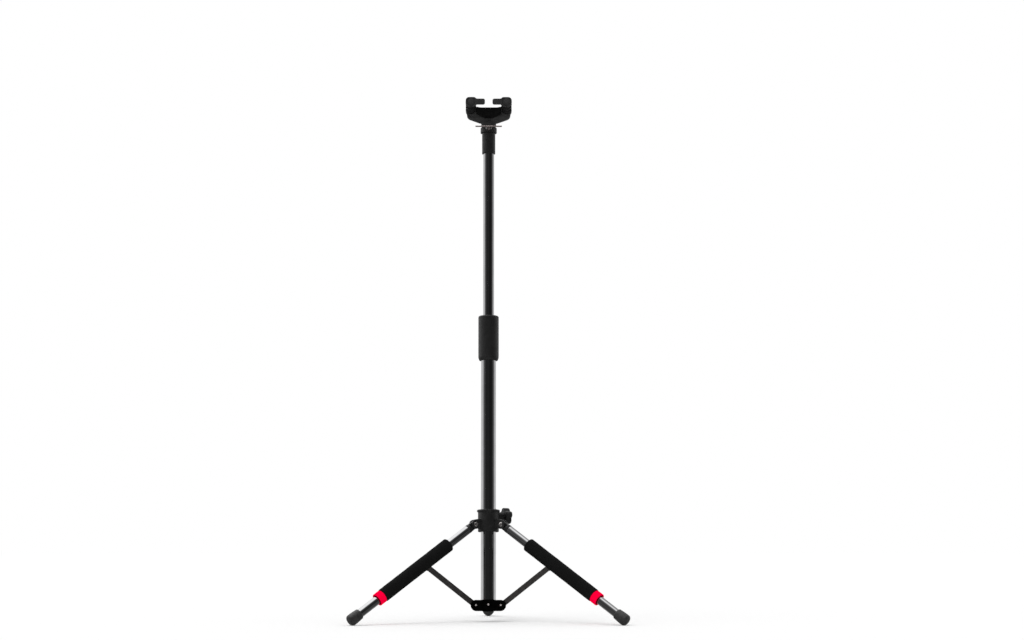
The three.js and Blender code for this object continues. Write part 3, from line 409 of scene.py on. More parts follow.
def stadium(low, radius, steps=14):
    # a half circle above the origin and one below (0, low), joined by straight sides
    half = np.linspace(math.pi / 2, 3 * math.pi / 2, steps)
    arc = np.stack([radius * np.sin(half), -radius * np.cos(half)], -1)
    return np.concatenate([arc, [0, low] - arc])


def shifted(shape, x=0.0, y=0.0, z=0.0):
    points, faces = shape
    return points + np.array([x, y, z]), faces


def alongY(shape):
    # Z of a shape laid along Y
    points, faces = shape
    return np.stack([points[:, 0], points[:, 2], -points[:, 1]], -1), faces


def turned(shape, degrees):
    # turned about Z
    points, faces = shape
    angle = math.radians(degrees)
    x = points[:, 0] * math.cos(angle) - points[:, 1] * math.sin(angle)
    y = points[:, 0] * math.sin(angle) + points[:, 1] * math.cos(angle)
    return np.stack([x, y, points[:, 2]], -1), faces


def crossRod(radius, low, high, x=0.0, z=0.0, soft=0.4, sides=48):
    # a bar along Y
    return shifted(alongY(rodRound(radius, low, high, soft, sides)), x, 0, z)


def levelRod(radius, low, high, z, soft=0.4):
    # a bar along X
    points, faces = rodRound(radius, low, high, soft)
    return np.stack([points[:, 2], points[:, 1], z - points[:, 0]], -1), faces


def earPair(outline, near, far, soft, sides=(-1, 1)):
    # an outline given a thickness on each side of the middle
    return [slab(outline, *sorted([side * near, side * far]), soft) for side in sides]


def meshOf(name, shapes, place):
    # one mesh from several closed shapes, its doubles merged and its faces turned outwards
    build = bmesh.new()
    for points, faces in shapes:
        part = bpy.data.meshes.new(name)
        part.from_pydata(place.out(points).tolist(), [], faces)
        piece = bmesh.new()
        piece.from_mesh(part)
        bmesh.ops.remove_doubles(piece, verts=piece.verts, dist=1e-6)
        bmesh.ops.dissolve_degenerate(piece, edges=piece.edges, dist=1e-7)
        bmesh.ops.recalc_face_normals(piece, faces=piece.faces)
        piece.to_mesh(part)
        piece.free()
        build.from_mesh(part)
        bpy.data.meshes.remove(part)
    mesh = bpy.data.meshes.new(name)
    build.to_mesh(mesh)
    build.free()
    return mesh


def placed(name, data):
    item = bpy.data.objects.new(name, data)
    scene.collection.objects.link(item)
    return item


def modify(item, kind, **settings):
    modifier = item.modifiers.new(kind.lower(), kind)
    for name, value in settings.items():
        setattr(modifier, name, value)


def applied(item, *others):
    # the mesh that an object's modifiers make; the objects themselves go
    bpy.context.view_layer.update()
    graph = bpy.context.evaluated_depsgraph_get()
    result = bpy.data.meshes.new_from_object(item.evaluated_get(graph))
    for used in [item, *others]:
        bpy.data.objects.remove(used)
    return result


def fused(mesh, voxel, rounds):
    # overlapping shapes made one skin with soft joins
    item = placed("fusing", mesh)
    modify(item, "REMESH", mode="VOXEL", voxel_size=voxel * mm)
    modify(item, "SMOOTH", factor=0.5, iterations=rounds)
    return applied(item)


def carved(mesh, tools, place):
    # bores and slots taken out of a mesh
    item = placed("carving", mesh)
    cutters = [placed("cutter", meshOf("cutter", [shape], place)) for shape in tools]
    for cutter in cutters:
        modify(item, "BOOLEAN", operation="DIFFERENCE", solver="MANIFOLD", object=cutter)
    return applied(item, *cutters)


pieces = []
sharpDegrees = 38
bodyOf = {node: body for body, members in frame["record"]["behaviour"]["bodies"].items() for node in members}


def finished(name, mesh, finish, node):
    # a mesh made a piece of the scene: shading, material, its body and the node that it stands for
    mesh.materials.clear()
    mesh.materials.append(materials[finish])
    mesh.shade_smooth()
    mesh.set_sharp_from_angle(angle=math.radians(sharpDegrees))
    item = placed(name, mesh)
    modify(item, "WEIGHTED_NORMAL", keep_sharp=True)
    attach(item, bodyOf[node])
    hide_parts(node)
    pieces.append(item)
    return item


def dressed(name, node, shapes, place, finish, voxel=None, rounds=0, tools=()):
    # the usual way of a piece: shapes, made one skin where a voxel size is given, bored, and put for
    # its node
    mesh = meshOf(name, shapes, place)
    if voxel:
        mesh = fused(mesh, voxel, rounds)
    if tools:
        mesh = carved(mesh, tools, place)
    finished(name, mesh, finish, node)


def pinPiece(name, node, place, radius, crown, finish="platedSteel"):
    # a shank along Z with a domed head at each end
    head, _, low, high = roundSizes(node, place)
    t = np.linspace(0, math.pi / 2, 7)
    dome = np.stack([head * np.sin(t), crown * np.cos(t)], -1)
    low, high = low + crown, high - crown
    shank = [[radius, low], [radius, high]]
    profile = np.concatenate([dome * [1, -1] + [0, low], shank, dome[::-1] + [0, high]])
    dressed(name, node, [revolved(profile, 40)], place, finish)


def tubePiece(node, place, soft=0.5, sides=96):
    outer, inner, low, high = roundSizes(node, place)
    dressed(node + "_skin", node, [tubeRound(outer, inner, low, high, soft, sides)], place, "darkChrome")


# Shaft

for node in ["shaft_outer_tube", "shaft_inner_tube"]:
    tubePiece(node, shaft)
shaftRadius, tubeInside, _, tubeTop = roundSizes("shaft_outer_tube", shaft)
innerRadius, _, _, innerTop = roundSizes("shaft_inner_tube", shaft)

plugStyle = {"flange": 1.6, "round": 0.9, "nose": 1.0}
outer, _, bottom, top = roundSizes("shaft_end_plug", shaft)
seat = bottom + plugStyle["flange"]
plugProfile = softened([
    [0, bottom], [outer, bottom], [outer, seat], [tubeInside - gap, seat], [tubeInside - gap, top], [0, top],
], [0, plugStyle["round"], 0.2, 0, plugStyle["nose"], 0], closed=False)
dressed("end_plug_skin", "shaft_end_plug", [revolved(plugProfile)], shaft, "blackPlastic")

socketStyle = {"post": 9.0, "edge": 1.6, "skirt": 62.0, "throat": 2.4}
outer, _, bottom, top = roundSizes("yoke_socket", shaft)
bore, post, shoulder = innerRadius + gap, socketStyle["post"], bottom + socketStyle["skirt"]
socketProfile = softened([
    [0, innerTop + gap], [bore, innerTop + gap], [bore, bottom], [outer, bottom],
    [outer, shoulder], [post, shoulder], [post, top], [0, top],
], [0, 0.4, 0.8, 1.2, socketStyle["edge"], socketStyle["throat"], 0.8, 0], closed=False)
dressed("yoke_socket_skin", "yoke_socket", [revolved(socketProfile)], shaft, "blackPlastic")
print("stage: shaft")


# Lower hub: the casting, its bent front plate and the rivets

hubStyle = {"sleeveWall": 4.0, "earRadius": 8.0, "earThickness": 3.0, "pivotReach": 35.0, "height": 35.5,
            "sleeveHeight": 20.0, "voxel": 0.7, "rounds": 3, "rivetHole": 2.3}
hubPivot = hubStyle["pivotReach"], hubStyle["height"]
braceThickness = 3.0


def earOutline(reachIn, reachOut, height, radius, rise=1.0):
    # an ear from the wall to round its pivot
    return softened([
        [reachIn, height - radius], [reachOut + radius, height - radius],
        [reachOut + radius, height + radius], [reachIn, height + radius * rise],
    ], radius * 0.98, 8)


def outward(degrees):
    angle = math.radians(degrees)
    return np.array([math.cos(angle), math.sin(angle), 0.0])


def legAzimuth(name):
    x, y, _ = shaft.back([jointPlace("leg_fold_" + name)])[0]
    return math.degrees(math.atan2(y, x))


def hubCasting():
    # a sleeve cut flat in front, with one ear for each front brace and two for the rear one
    bottom = hubStyle["height"] - hubStyle["sleeveHeight"] / 2
    top = bottom + hubStyle["sleeveHeight"]
    bore = shaftRadius + gap
    ear = earOutline(bore + 2, *hubPivot, hubStyle["earRadius"])
    near = braceThickness / 2 + gap
    far = near + hubStyle["earThickness"]
    shapes = [tubeRound(bore + hubStyle["sleeveWall"], bore, bottom, top, 0.8)]
    for name, sides in {"left": [-1], "right": [1], "rear": [-1, 1]}.items():
        shapes += [turned(shape, legAzimuth(name)) for shape in earPair(ear, near, far, 0.7, sides)]
    rear = crossRod(hubStyle["rivetHole"], 0, far + 4, *hubPivot)
    tools = [slab(box(-60, bottom - 20, 60, top + 20, 1), -60, -shaftRadius, 0.1),
             turned(rear, legAzimuth("rear")), rodRound(bore, bottom - 5, top + 5, 0.1, 96)]
    dressed("lower_hub_casting", "lower_hub", shapes, shaft, "hubCoat", hubStyle["voxel"], hubStyle["rounds"],
            tools)


# the swell's two sizes, above and below, are a painted dark reflection and a painted shadow
plateStyle = {"edge": 0.9, "bendSoft": 2.0, "columns": 150, "ring": 6, "deeper": 1.7, "swell": (1.0, 0.9),
              "paintedDarkSwellReach": 15.0}


def hubPlate():
    # a stadium seen from the front whose two long edges swell over the shaft; the black swell on the top edge is a
    # painted dark reflection of the plate in the tube above, and the one on the bottom edge a painted shadow on
    # the rear foot. Its points:
    # (x, y(x) + thickness/2 t / cos(turn(x)), middle(x) + height(x) s), with (s, t) from -1 to 1 round
    # a soft-cornered rectangle; y(x) turns forward at two bends, beside the two front legs' braces
    low, high = corners("hub_front_plate", shaft)
    halfWidth = high[0]
    bottom, top = low[2] - plateStyle["deeper"], high[2]
    halfHeight = (top - bottom) / 2
    thickness = hubStyle["earThickness"]
    front = -shaftRadius - gap - thickness
    wing = braceThickness / 2 + gap + thickness  # from a leg's plane to the wing's face
    legTurn = math.radians(legAzimuth("right"))
    reach = (wing * math.cos(legTurn) + front) / math.sin(legTurn)
    bendAt = reach * math.cos(legTurn) + wing * math.sin(legTurn)
    slope = -math.tan(legTurn)
    x = halfWidth * np.sin(np.linspace(-math.pi / 2, math.pi / 2, plateStyle["columns"]))
    beyond = np.maximum(np.abs(x) - halfWidth + halfHeight, 0)
    height = np.sqrt(np.maximum(halfHeight ** 2 - beyond ** 2, 0))
    swell = 0.5 + 0.5 * np.cos(math.pi * np.clip(np.abs(x) / plateStyle["paintedDarkSwellReach"] * 3 - 2, 0, 1))
    # the swell is painted shade: a dark reflection above, a shadow below
    above, below = [share * swell for share in plateStyle["swell"]]
    middle = (top + bottom) / 2 + (above - below) / 2
    height = height + (above + below) / 2
    over = np.abs(x) - bendAt
    rounded = np.sqrt(over ** 2 + plateStyle["bendSoft"] ** 2)
    y = front + thickness / 2 - slope * (over + rounded) / 2
    turn = np.arctan(slope * (1 + over / rounded) / 2)
    edge = plateStyle["edge"]
    angle = np.linspace(0, 2 * math.pi, 4 * plateStyle["ring"], endpoint=False) + math.pi / 4
    s = np.clip(np.cos(angle) * math.sqrt(2), -1, 1)
    t = np.clip(np.sin(angle) * math.sqrt(2), -1, 1)
    pull = edge * (1 - 1 / np.hypot(s, t)) * 0.8
    taper = np.minimum(height / edge, 1)[:, None]
    heights = np.maximum(height[:, None] - pull[None], 0) * s[None]
    depths = (thickness / 2 - pull[None]) * t[None] * np.sqrt(np.clip(taper * (2 - taper), 0, 1))
    grid = np.stack([np.broadcast_to(x[:, None], heights.shape), y[:, None] + depths / np.cos(turn)[:, None],
                     middle[:, None] + heights], -1)
    shape = (grid.reshape(-1, 3), gridFaces(len(x), len(angle), False, True))
    holes = [crossRod(hubStyle["rivetHole"], front - 5, front + 8, 0, middleOf("hub_rivet_centre", shaft)[2])]
    hole = crossRod(hubStyle["rivetHole"], -8, 8, *hubPivot)
    holes += [turned(hole, legAzimuth(name)) for name in ["left", "right"]]
    dressed("front_plate", "hub_front_plate", [shape], shaft, "hubCoat", tools=holes)


rivetStyle = {"crown": 1.5, "shank": 2.0, "smaller": {"centre": 0.8}}


def rivets():
    # low domed heads, each in its node's place: the centre one faces the front, the others lie
    # square to their leg's plane
    directions = {"left": legAzimuth("left") - 90, "right": legAzimuth("right") + 90, "centre": -90,
                  "rear": legAzimuth("rear") + 90}
    crown, shank = rivetStyle["crown"], rivetStyle["shank"]
    for name, azimuth in directions.items():
        node = "hub_rivet_" + name
        place = shaft.moved(*middleOf(node, shaft)).laid(outward(azimuth))
        low, high = corners(node, place)
        radius = high[0] - rivetStyle["smaller"].get(name, 0)
        t = np.linspace(0, math.pi / 2, 8)
        dome = np.stack([radius * np.sin(t), high[2] - crown * (1 - np.cos(t))], -1)
        seat = high[2] - crown - 0.1
        profile = np.concatenate([dome, [[radius, seat], [shank, seat], [shank, low[2]], [0, low[2]]]])
        dressed(node + "_head", node, [revolved(profile, 40)], place, "rivetZinc")


hubCasting()
hubPlate()
rivets()
print("stage: lower hub")


# Leg collar with its ears, the knob and the three pins

collarStyle = {"wall": 6.0, "above": 34.0, "below": 15.0, "lipHeight": 5.0, "lipDepth": 2.2, "earRadius": 9.0,
               "earRise": 1.6, "earThickness": 4.0, "tongueSide": 4.3, "bossRadius": 9.0, "bossReach": 31.0,
               "knobAzimuth": 30.0, "knobRise": 21.0, "voxel": 0.8, "rounds": 3, "pinHole": 3.3,
               "screwHole": 3.8}
pivotHeight = shaft.back([pivotMiddle])[0][2]
pivotReach = np.hypot(*shaft.back([jointPlace("leg_fold_left")])[0][:2])
knobHeight = pivotHeight + collarStyle["knobRise"]


def collarCasting():
    # a lipped sleeve with a pair of ears for each leg and a boss for the knob's screw
    bore = shaftRadius + gap
    wall = bore + collarStyle["wall"]
    lip = wall + collarStyle["lipDepth"]
    bottom = pivotHeight - collarStyle["below"]
    top = pivotHeight + collarStyle["above"]
    under = top - collarStyle["lipHeight"]
    shapes = [revolved(softened([[bore, bottom], [wall, bottom], [wall, under], [lip, under], [lip, top],
                                 [bore, top]], [0.5, 1.2, 1.5, 1.0, 1.8, 0.5]), 96)]
    tools = []
    ear = earOutline(bore + 3, pivotReach, pivotHeight, collarStyle["earRadius"], collarStyle["earRise"])
    near = collarStyle["tongueSide"]
    far = near + collarStyle["earThickness"]
    hole = crossRod(collarStyle["pinHole"], -far - 5, far + 5, pivotReach, pivotHeight)
    for name in legNames:
        shapes += [turned(shape, legAzimuth(name)) for shape in earPair(ear, near, far, 0.9)]
        tools.append(turned(hole, legAzimuth(name)))
    azimuth, bossReach = collarStyle["knobAzimuth"], collarStyle["bossReach"]
    shapes.append(turned(levelRod(collarStyle["bossRadius"], bore + 3, bossReach, knobHeight, 1.0), azimuth))
    tools.append(turned(levelRod(collarStyle["screwHole"], 0, bossReach + 5, knobHeight), azimuth))
    tools.append(rodRound(bore, bottom - 5, top + 5, 0.1, 96))
    dressed("leg_collar_casting", "leg_collar", shapes, shaft, "blackPlastic",
            collarStyle["voxel"], collarStyle["rounds"], tools)


knobStyle = {"lobes": 5, "lobeDepth": 3.0, "thickness": 15.0, "hubRadius": 8.0, "hubLength": 6.0, "stem": 3.5,
             "crown": 1.2}


def starKnob():
    # a revolved profile whose radius swells and shrinks round its grip with the cosine of lobes times
    # the angle; the lobes are broad and the hollows between them tight
    place = shaft.moved(0, 0, knobHeight).laid(outward(collarStyle["knobAzimuth"]))
    outer, _, low, high = roundSizes("collar_knob", place)
    hub, stem, lobeDepth = knobStyle["hubRadius"], knobStyle["stem"], knobStyle["lobeDepth"]
    gripStart = high - knobStyle["thickness"]
    hubStart = gripStart - knobStyle["hubLength"]
    dip = high - knobStyle["crown"]
    mean = outer - lobeDepth

    def lobed(angle, radius):
        grip = np.clip((radius - hub) / (mean - hub), 0, 1)
        wave = np.cos(knobStyle["lobes"] * angle)
        return radius + grip * lobeDepth * (wave * 0.75 + 0.25 - 0.25 * wave ** 2)

    profile = softened([
        [0, low], [stem, low], [stem, hubStart], [hub, hubStart], [hub, gripStart], [mean, gripStart],
        [mean, high], [hub * 0.8, high], [hub * 0.7, dip], [0, dip],
    ], [0, 0.4, 0.3, 1.0, 0.8, 1.8, 3.0, 0.5, 0.4, 0], 6, closed=False)
    dressed("star_knob", "collar_knob", [revolved(profile, 150, lobed)], place, "blackPlastic")


collarCasting()
starKnob()
for name in legNames:
    node = "leg_pin_" + name
    tangent = unit(np.cross(shaftUp, jointPlace("leg_fold_" + name) - shaftFoot))
    pinAt = Place(jointPlace("leg_fold_" + name), np.cross(shaftUp, tangent), shaftUp, tangent)
    pinPiece(node + "_steel", node, pinAt, 3.0, 1.7)
print("stage: collar")


# Legs: knuckle, tube, foot, foam sleeve, ring, lug, pin and brace

knuckleStyle = {"thickness": 8.0, "eyeRadius": 8.5, "neckTop": -14.0, "neckLength": 7.0, "pinHole": 3.3,
                "voxel": 0.55, "rounds": 2}


def knucklePiece(name, place):
    # a tongue round the pivot, a neck as wide as the leg's tube and a plug in the tube
    foot = corners("leg_knuckle_" + name, place)[0][2]
    tubeOuter, tubeInner = roundSizes("leg_tube_" + name, place)[:2]
    half = knuckleStyle["thickness"] / 2
    neckTop = knuckleStyle["neckTop"]
    shapes = [slab(stadium(neckTop - 2, knuckleStyle["eyeRadius"]), -half, half, 1.0),
              rodRound(tubeOuter, neckTop - knuckleStyle["neckLength"], neckTop, 1.2, 64),
              rodRound(tubeInner - gap, foot, neckTop - 1, 1.0)]
    dressed("knuckle_" + name, "leg_knuckle_" + name, shapes, place, "blackPlastic", knuckleStyle["voxel"],
            knuckleStyle["rounds"], [crossRod(knuckleStyle["pinHole"], -20, 20)])


footStyle = {"socketDepth": 18.0, "crown": 6.5, "blunt": (0.72, 0.9), "belly": 6.0, "taper": 1.2,
             "collar": 0.96, "flat": 1.0, "rocker": 8.0}


def footPiece(name, place):
    # a turned rubber tip: a blunt end, a belly and a soft shoulder round the tube; below, it is pressed
    # onto a line along the leg, from which it rises to each side by (|y| - flat)^2 / (2 rocker)
    node = "foot_" + name
    outer, _, low, high = roundSizes(node, place)
    bore = roundSizes("leg_tube_" + name, place)[0] + gap
    crown = footStyle["crown"]
    wide, tall = footStyle["blunt"]
    floor = high - footStyle["socketDepth"]
    t = np.linspace(0, math.pi / 2, 14)
    end = np.stack([outer * np.sin(t) ** wide, low + crown * (1 - np.cos(t) ** tall)], -1)
    side = softened([
        [outer, low + crown], [outer, (low + high) / 2],
        [outer - footStyle["taper"], high - footStyle["collar"]], [bore, high], [bore, floor], [0, floor],
    ], [0, footStyle["belly"], 1.6, 0.6, 0.3, 0], 8, closed=False)
    mesh = meshOf(node + "_tip", [revolved(np.concatenate([end[:-1], side]), 96)], place)
    spots = meshPoints(mesh)
    sideways = np.maximum(np.abs(place.back(spots)[:, 1]) - footStyle["flat"], 0)
    spots[:, 2] = np.maximum(spots[:, 2], sideways ** 2 / (2 * footStyle["rocker"]) * mm)
    mesh.vertices.foreach_set("co", spots.ravel())
    mesh.update()
    finished(node + "_tip", mesh, "footRubber", node)


foamStyle = {"slitWidth": 4.6, "window": (13.0, 11.0), "endRound": 2.2, "lip": 0.9, "around": 110,
             "rings": 90, "sag": 0.12, "fuller": 1.0}


def foamPiece(name, place, pivot):
    # an open ring in section, its slit just wide enough for the brace: once round outside, over a small
    # lip, back along the bore and over the other lip, carried along the leg; towards each end it closes on
    # its own mid line as a quarter circle does; a window is cut where the brace's lug stands
    node = "foam_sleeve_" + name
    outer, inner, low, high = roundSizes(node, place)
    outer += foamStyle["fuller"]
    half = (outer - inner) / 2
    middle = (outer + inner) / 2
    corner = foamStyle["lip"]
    around = math.pi - math.asin(foamStyle["slitWidth"] / 2 / middle)
    t = np.linspace(0, math.pi / 2, 5)
    bend = corner / middle * (1 - np.sin(t)), corner / half * (1 - np.cos(t))
    sweep = np.linspace(-1, 1, foamStyle["around"]) * (around - corner / middle)
    skin = np.stack([sweep, np.ones(len(sweep))], -1)
    lip = np.stack([around - bend[0], 1 - bend[1]], -1)
    side = np.concatenate([lip, lip[::-1] * [1, -1]])
    loop = np.concatenate([skin, side, skin[::-1] * [1, -1], side[::-1] * [-1, 1]])
    endRound = foamStyle["endRound"]
    t = np.linspace(0, math.pi / 2, 8)
    ends = endRound * (1 - np.cos(t))
    straight = np.linspace(low + endRound, high - endRound, foamStyle["rings"])[1:-1]
    heights = np.concatenate([low + ends, straight, (high - ends)[::-1]])
    fat = np.concatenate([np.sin(t), np.ones(len(straight)), np.sin(t)[::-1]])
    swell = foamStyle["sag"] * (np.sin(heights * 0.19) * 0.5 + np.sin(heights * 0.071 + 1.3) * 0.5 - 1)
    uneven = np.where(loop[None, :, 1] > 0, swell[:, None], 0)
    radius = middle + (half * fat[:, None] + uneven) * loop[None, :, 1]
    angle = np.broadcast_to(loop[None, :, 0], radius.shape)
    grid = np.stack([radius * np.cos(angle), radius * np.sin(angle),
                     np.broadcast_to(heights[:, None], radius.shape)], -1)
    count = len(loop)
    shape = grid.reshape(-1, 3), capped(gridFaces(len(heights), count, False, True), len(heights), count)
    reach, width = foamStyle["window"]
    window = box(inner - outer - 8, pivot[2] - reach, 2 - inner, pivot[2] + reach, 0.4)
    mesh = carved(meshOf(node + "_foam", [shape], place), [slab(window, -width / 2, width / 2, 0.4)], place)
    finished(node + "_foam", mesh, "gripFoam", node)


ringStyle = {"recess": (11.9, 4.5), "slope": 1.5, "shoulder": 1.2, "fuller": 0.5}


def ringPiece(name, place):
    # a short cap on the foam's end, opened out round the tube
    node = "sleeve_ring_" + name
    outer, inner, low, high = roundSizes(node, place)
    outer += ringStyle["fuller"]
    recess, depth = ringStyle["recess"]
    profile = softened([[recess, low], [outer, low], [outer, high], [inner, high],
                        [inner, low + depth + ringStyle["slope"]], [recess, low + depth]],
                       [0.6, 2.2, ringStyle["shoulder"], 0.5, 0.3, 0.6], 8)
    dressed(node + "_rubber", node, [revolved(profile, 96)], place, "redRubber")


lugStyle = {"ear": 1.8, "base": 1.6, "side": 1.8, "half": 9.0, "earRadius": 4.4, "hole": 2.5, "voxel": 0.35}


def lugPiece(name, place, pivot):
    # a channel of sheet under the tube: a base and two ears round the pin
    node = "brace_lug_" + name
    seat, z = corners(node, place)[1][0], pivot[2]
    half, radius = lugStyle["half"], lugStyle["earRadius"]
    ear = softened([[seat, z - half], [seat, z + half], [pivot[0] - radius, z + radius],
                    [pivot[0] - radius, z - radius]], [0.3, 0.3, radius, radius], 8)
    near = lugStyle["side"]
    far = near + lugStyle["ear"]
    base = box(seat - lugStyle["base"], z - half, seat, z + half, 0.3)
    hole = crossRod(lugStyle["hole"], -10, 10, pivot[0], z)
    dressed(node + "_channel", node, [slab(base, -far, far, 0.3), *earPair(ear, near, far, 0.3)], place,
            "bracePaint", lugStyle["voxel"], 1, [hole])


braceStyle = {"width": 12.4, "rise": 0.8, "edge": 0.8, "eye": 2.5}


def bracePiece(name, place):
    # a flat bar with round ends from its eye on the lug to its eye at the hub
    node = "brace_" + name
    tangent = place.axes[1]
    eye = jointPlace("brace_fold_" + name)
    hubEye = shaft.out(outward(legAzimuth(name)) * hubPivot[0] + [0, 0, hubPivot[1]])
    length = np.linalg.norm(hubEye - eye) / mm
    up = unit(eye - hubEye)
    bar = Place(eye, np.cross(tangent, up), tangent, up)
    half = braceThickness / 2
    outline = stadium(-length, braceStyle["width"] / 2)
    outline[:, 0] += braceStyle["rise"] * np.sign(bar.axes[0][2])
    holes = [crossRod(braceStyle["eye"], -10, 10, 0, z) for z in [0, -length]]
    shape = slab(outline, -half, half, braceStyle["edge"])
    dressed(node + "_bar", node, [shape], bar, "bracePaint", tools=holes)


for name in legNames:
    place = legPlace(name)
    pivot = place.back([jointPlace("brace_fold_" + name)])[0]
    knucklePiece(name, place)
    tubePiece("leg_tube_" + name, place)
    footPiece(name, place)
    if name != "rear":
        foamPiece(name, place, pivot)
        ringPiece(name, place)
    lugPiece(name, place, pivot)
    bracePiece(name, place)
    node = "brace_pin_" + name
    pinPiece(node + "_steel", node, place.moved(*pivot).laid([0, 1, 0]), 2.2, 1.05, "bracePaint")
print("stage: legs")


# Height clutch

clutchStyle = {"wall": 3.0, "round": 6.0, "foot": 2.5, "cone": 2.0, "voxel": 0.7, "rounds": 2, "pin": 2.5,
               "ear": (4.0, 9.0, 4.5), "slot": (6.3, 4.3), "leverHalf": 10.0, "leverVoxel": 0.6, "boss": 5.0,
               "blade": (2.0, 1.5, 2.2, 4.0), "bow": 1.6, "nose": (1.5, 4.0)}


def clutchHousing(place, pin):
    # a shell that closes in on the inner tube at its top, with two ears and a slot for the lever's nose
    low, high = corners("clutch_housing", place)
    radius, bottom, top = high[1], low[2], high[2]
    wall, rounding = clutchStyle["wall"], clutchStyle["round"]
    outerSeat, innerSeat, cavity = shaftRadius + gap, innerRadius + gap, radius - wall
    shell = revolved(softened([
        [outerSeat, bottom], [radius - clutchStyle["foot"], bottom], [radius, bottom + rounding],
        [radius, top - rounding * 0.2], [radius - rounding, top], [innerSeat, top], [innerSeat, top - wall],
        [cavity, top - wall - clutchStyle["cone"]], [cavity, tubeTop + gap], [outerSeat, tubeTop + gap],
    ], [0.4, 2.0, 3.0, 4.0, 3.0, 0.5, 0.4, 1.0, 0.4, 0.4], 6), 96)
    thickness, drop, half = clutchStyle["ear"]
    near = clutchStyle["leverHalf"] + gap
    far = near + thickness
    root = math.sqrt(radius ** 2 - far ** 2) - 1.2
    ear = softened([[root, pin[2] - drop], [high[0], pin[2] - half], [high[0], pin[2] + half],
                    [root, pin[2] + half]], [0.3, 4.4, 4.4, 0.3], 8)
    slotHeight, slotHalf = clutchStyle["slot"]
    slotLow = pin[2] - clutchStyle["nose"][0] - gap
    slot = box(cavity - 4, slotLow, radius + 4, slotLow + slotHeight, 0.3)
    tools = [crossRod(clutchStyle["pin"] + gap, -20, 20, pin[0], pin[2]),
             slab(slot, -slotHalf, slotHalf, 0.2), rodRound(outerSeat, bottom - 5, tubeTop, 0.1, 96),
             rodRound(innerSeat, top - wall - 1, top + 5, 0.1, 96)]
    dressed("clutch_shell", "clutch_housing", [shell, *earPair(ear, near, far, 0.8)], place, "blackPlastic",
            clutchStyle["voxel"], clutchStyle["rounds"], tools)


def squeezeLever(place, pin):
    # a blade that bows away from the housing and narrows at its tip, on a boss round the pin, with a nose
    # into the housing's slot; the blade runs out by s to the power bow
    low, high = corners("clutch_lever", place)
    wide = clutchStyle["leverHalf"]
    thick, start, end, above = clutchStyle["blade"]
    s = np.linspace(0, 1, 40)
    first, last = pin[0] + start, high[0] - end
    path = np.stack([first + (last - first) * s ** clutchStyle["bow"], 0 * s,
                     pin[2] + above - (pin[2] + above - low[2] - start) * s], -1)
    narrow = 0.75 + 0.25 * np.sqrt(np.clip(1 - np.clip((s - 0.9) / 0.1, 0, 1) ** 2, 0.16, 1))
    section = box(-wide, -thick, wide, thick, 1.2)[None] * np.stack([narrow, np.ones(len(s))], -1)[:, None]
    noseHalf, noseWide = clutchStyle["nose"]
    nose = box(low[0], pin[2] - noseHalf, pin[0], pin[2] + noseHalf, [1.2, 0.2, 0.2, 1.2])
    shapes = [carried(section, path, [0, 1, 0]), slab(nose, -noseWide, noseWide, 0.4),
              crossRod(clutchStyle["boss"], -wide, wide, pin[0], pin[2], 0.8)]
    dressed("squeeze_lever", "clutch_lever", shapes, place, "blackPlastic", clutchStyle["leverVoxel"],
            clutchStyle["rounds"], [crossRod(clutchStyle["pin"] + gap, -20, 20, pin[0], pin[2])])


rearward = shaft.turned(90)  # X to the back
leverPin = middleOf("clutch_lever_pin", rearward)
clutchHousing(rearward, leverPin)
squeezeLever(rearward, leverPin)
pinAt = rearward.moved(*leverPin).laid([0, 1, 0])
pinPiece("lever_pin_steel", "clutch_lever_pin", pinAt, clutchStyle["pin"], 1.2)
print("stage: clutch")


# Yoke: housing, pad, arms, ribbed sleeves, gates

armAt = np.abs(shaft.back([jointPlace("gate_swing_right")])[0])  # across, before the shaft, up the shaft
yokeStyle = {"voxel": 0.7, "rounds": 2, "edge": 1.4, "back": -3.0, "barrel": 17.0, "top": 8.0,
             "saddle": (22.0, 28.0, 1.0), "sideDrop": 17.6, "neck": (16.8, 29.4), "chinDrop": 12.0,
             "chinDepth": 12.0, "barrelDrop": 36.0, "postBore": 9.3, "armBore": 6.8, "collar": (12.3, 1.2),
             "corners": [6, 8.5, 6, 4, 4]}


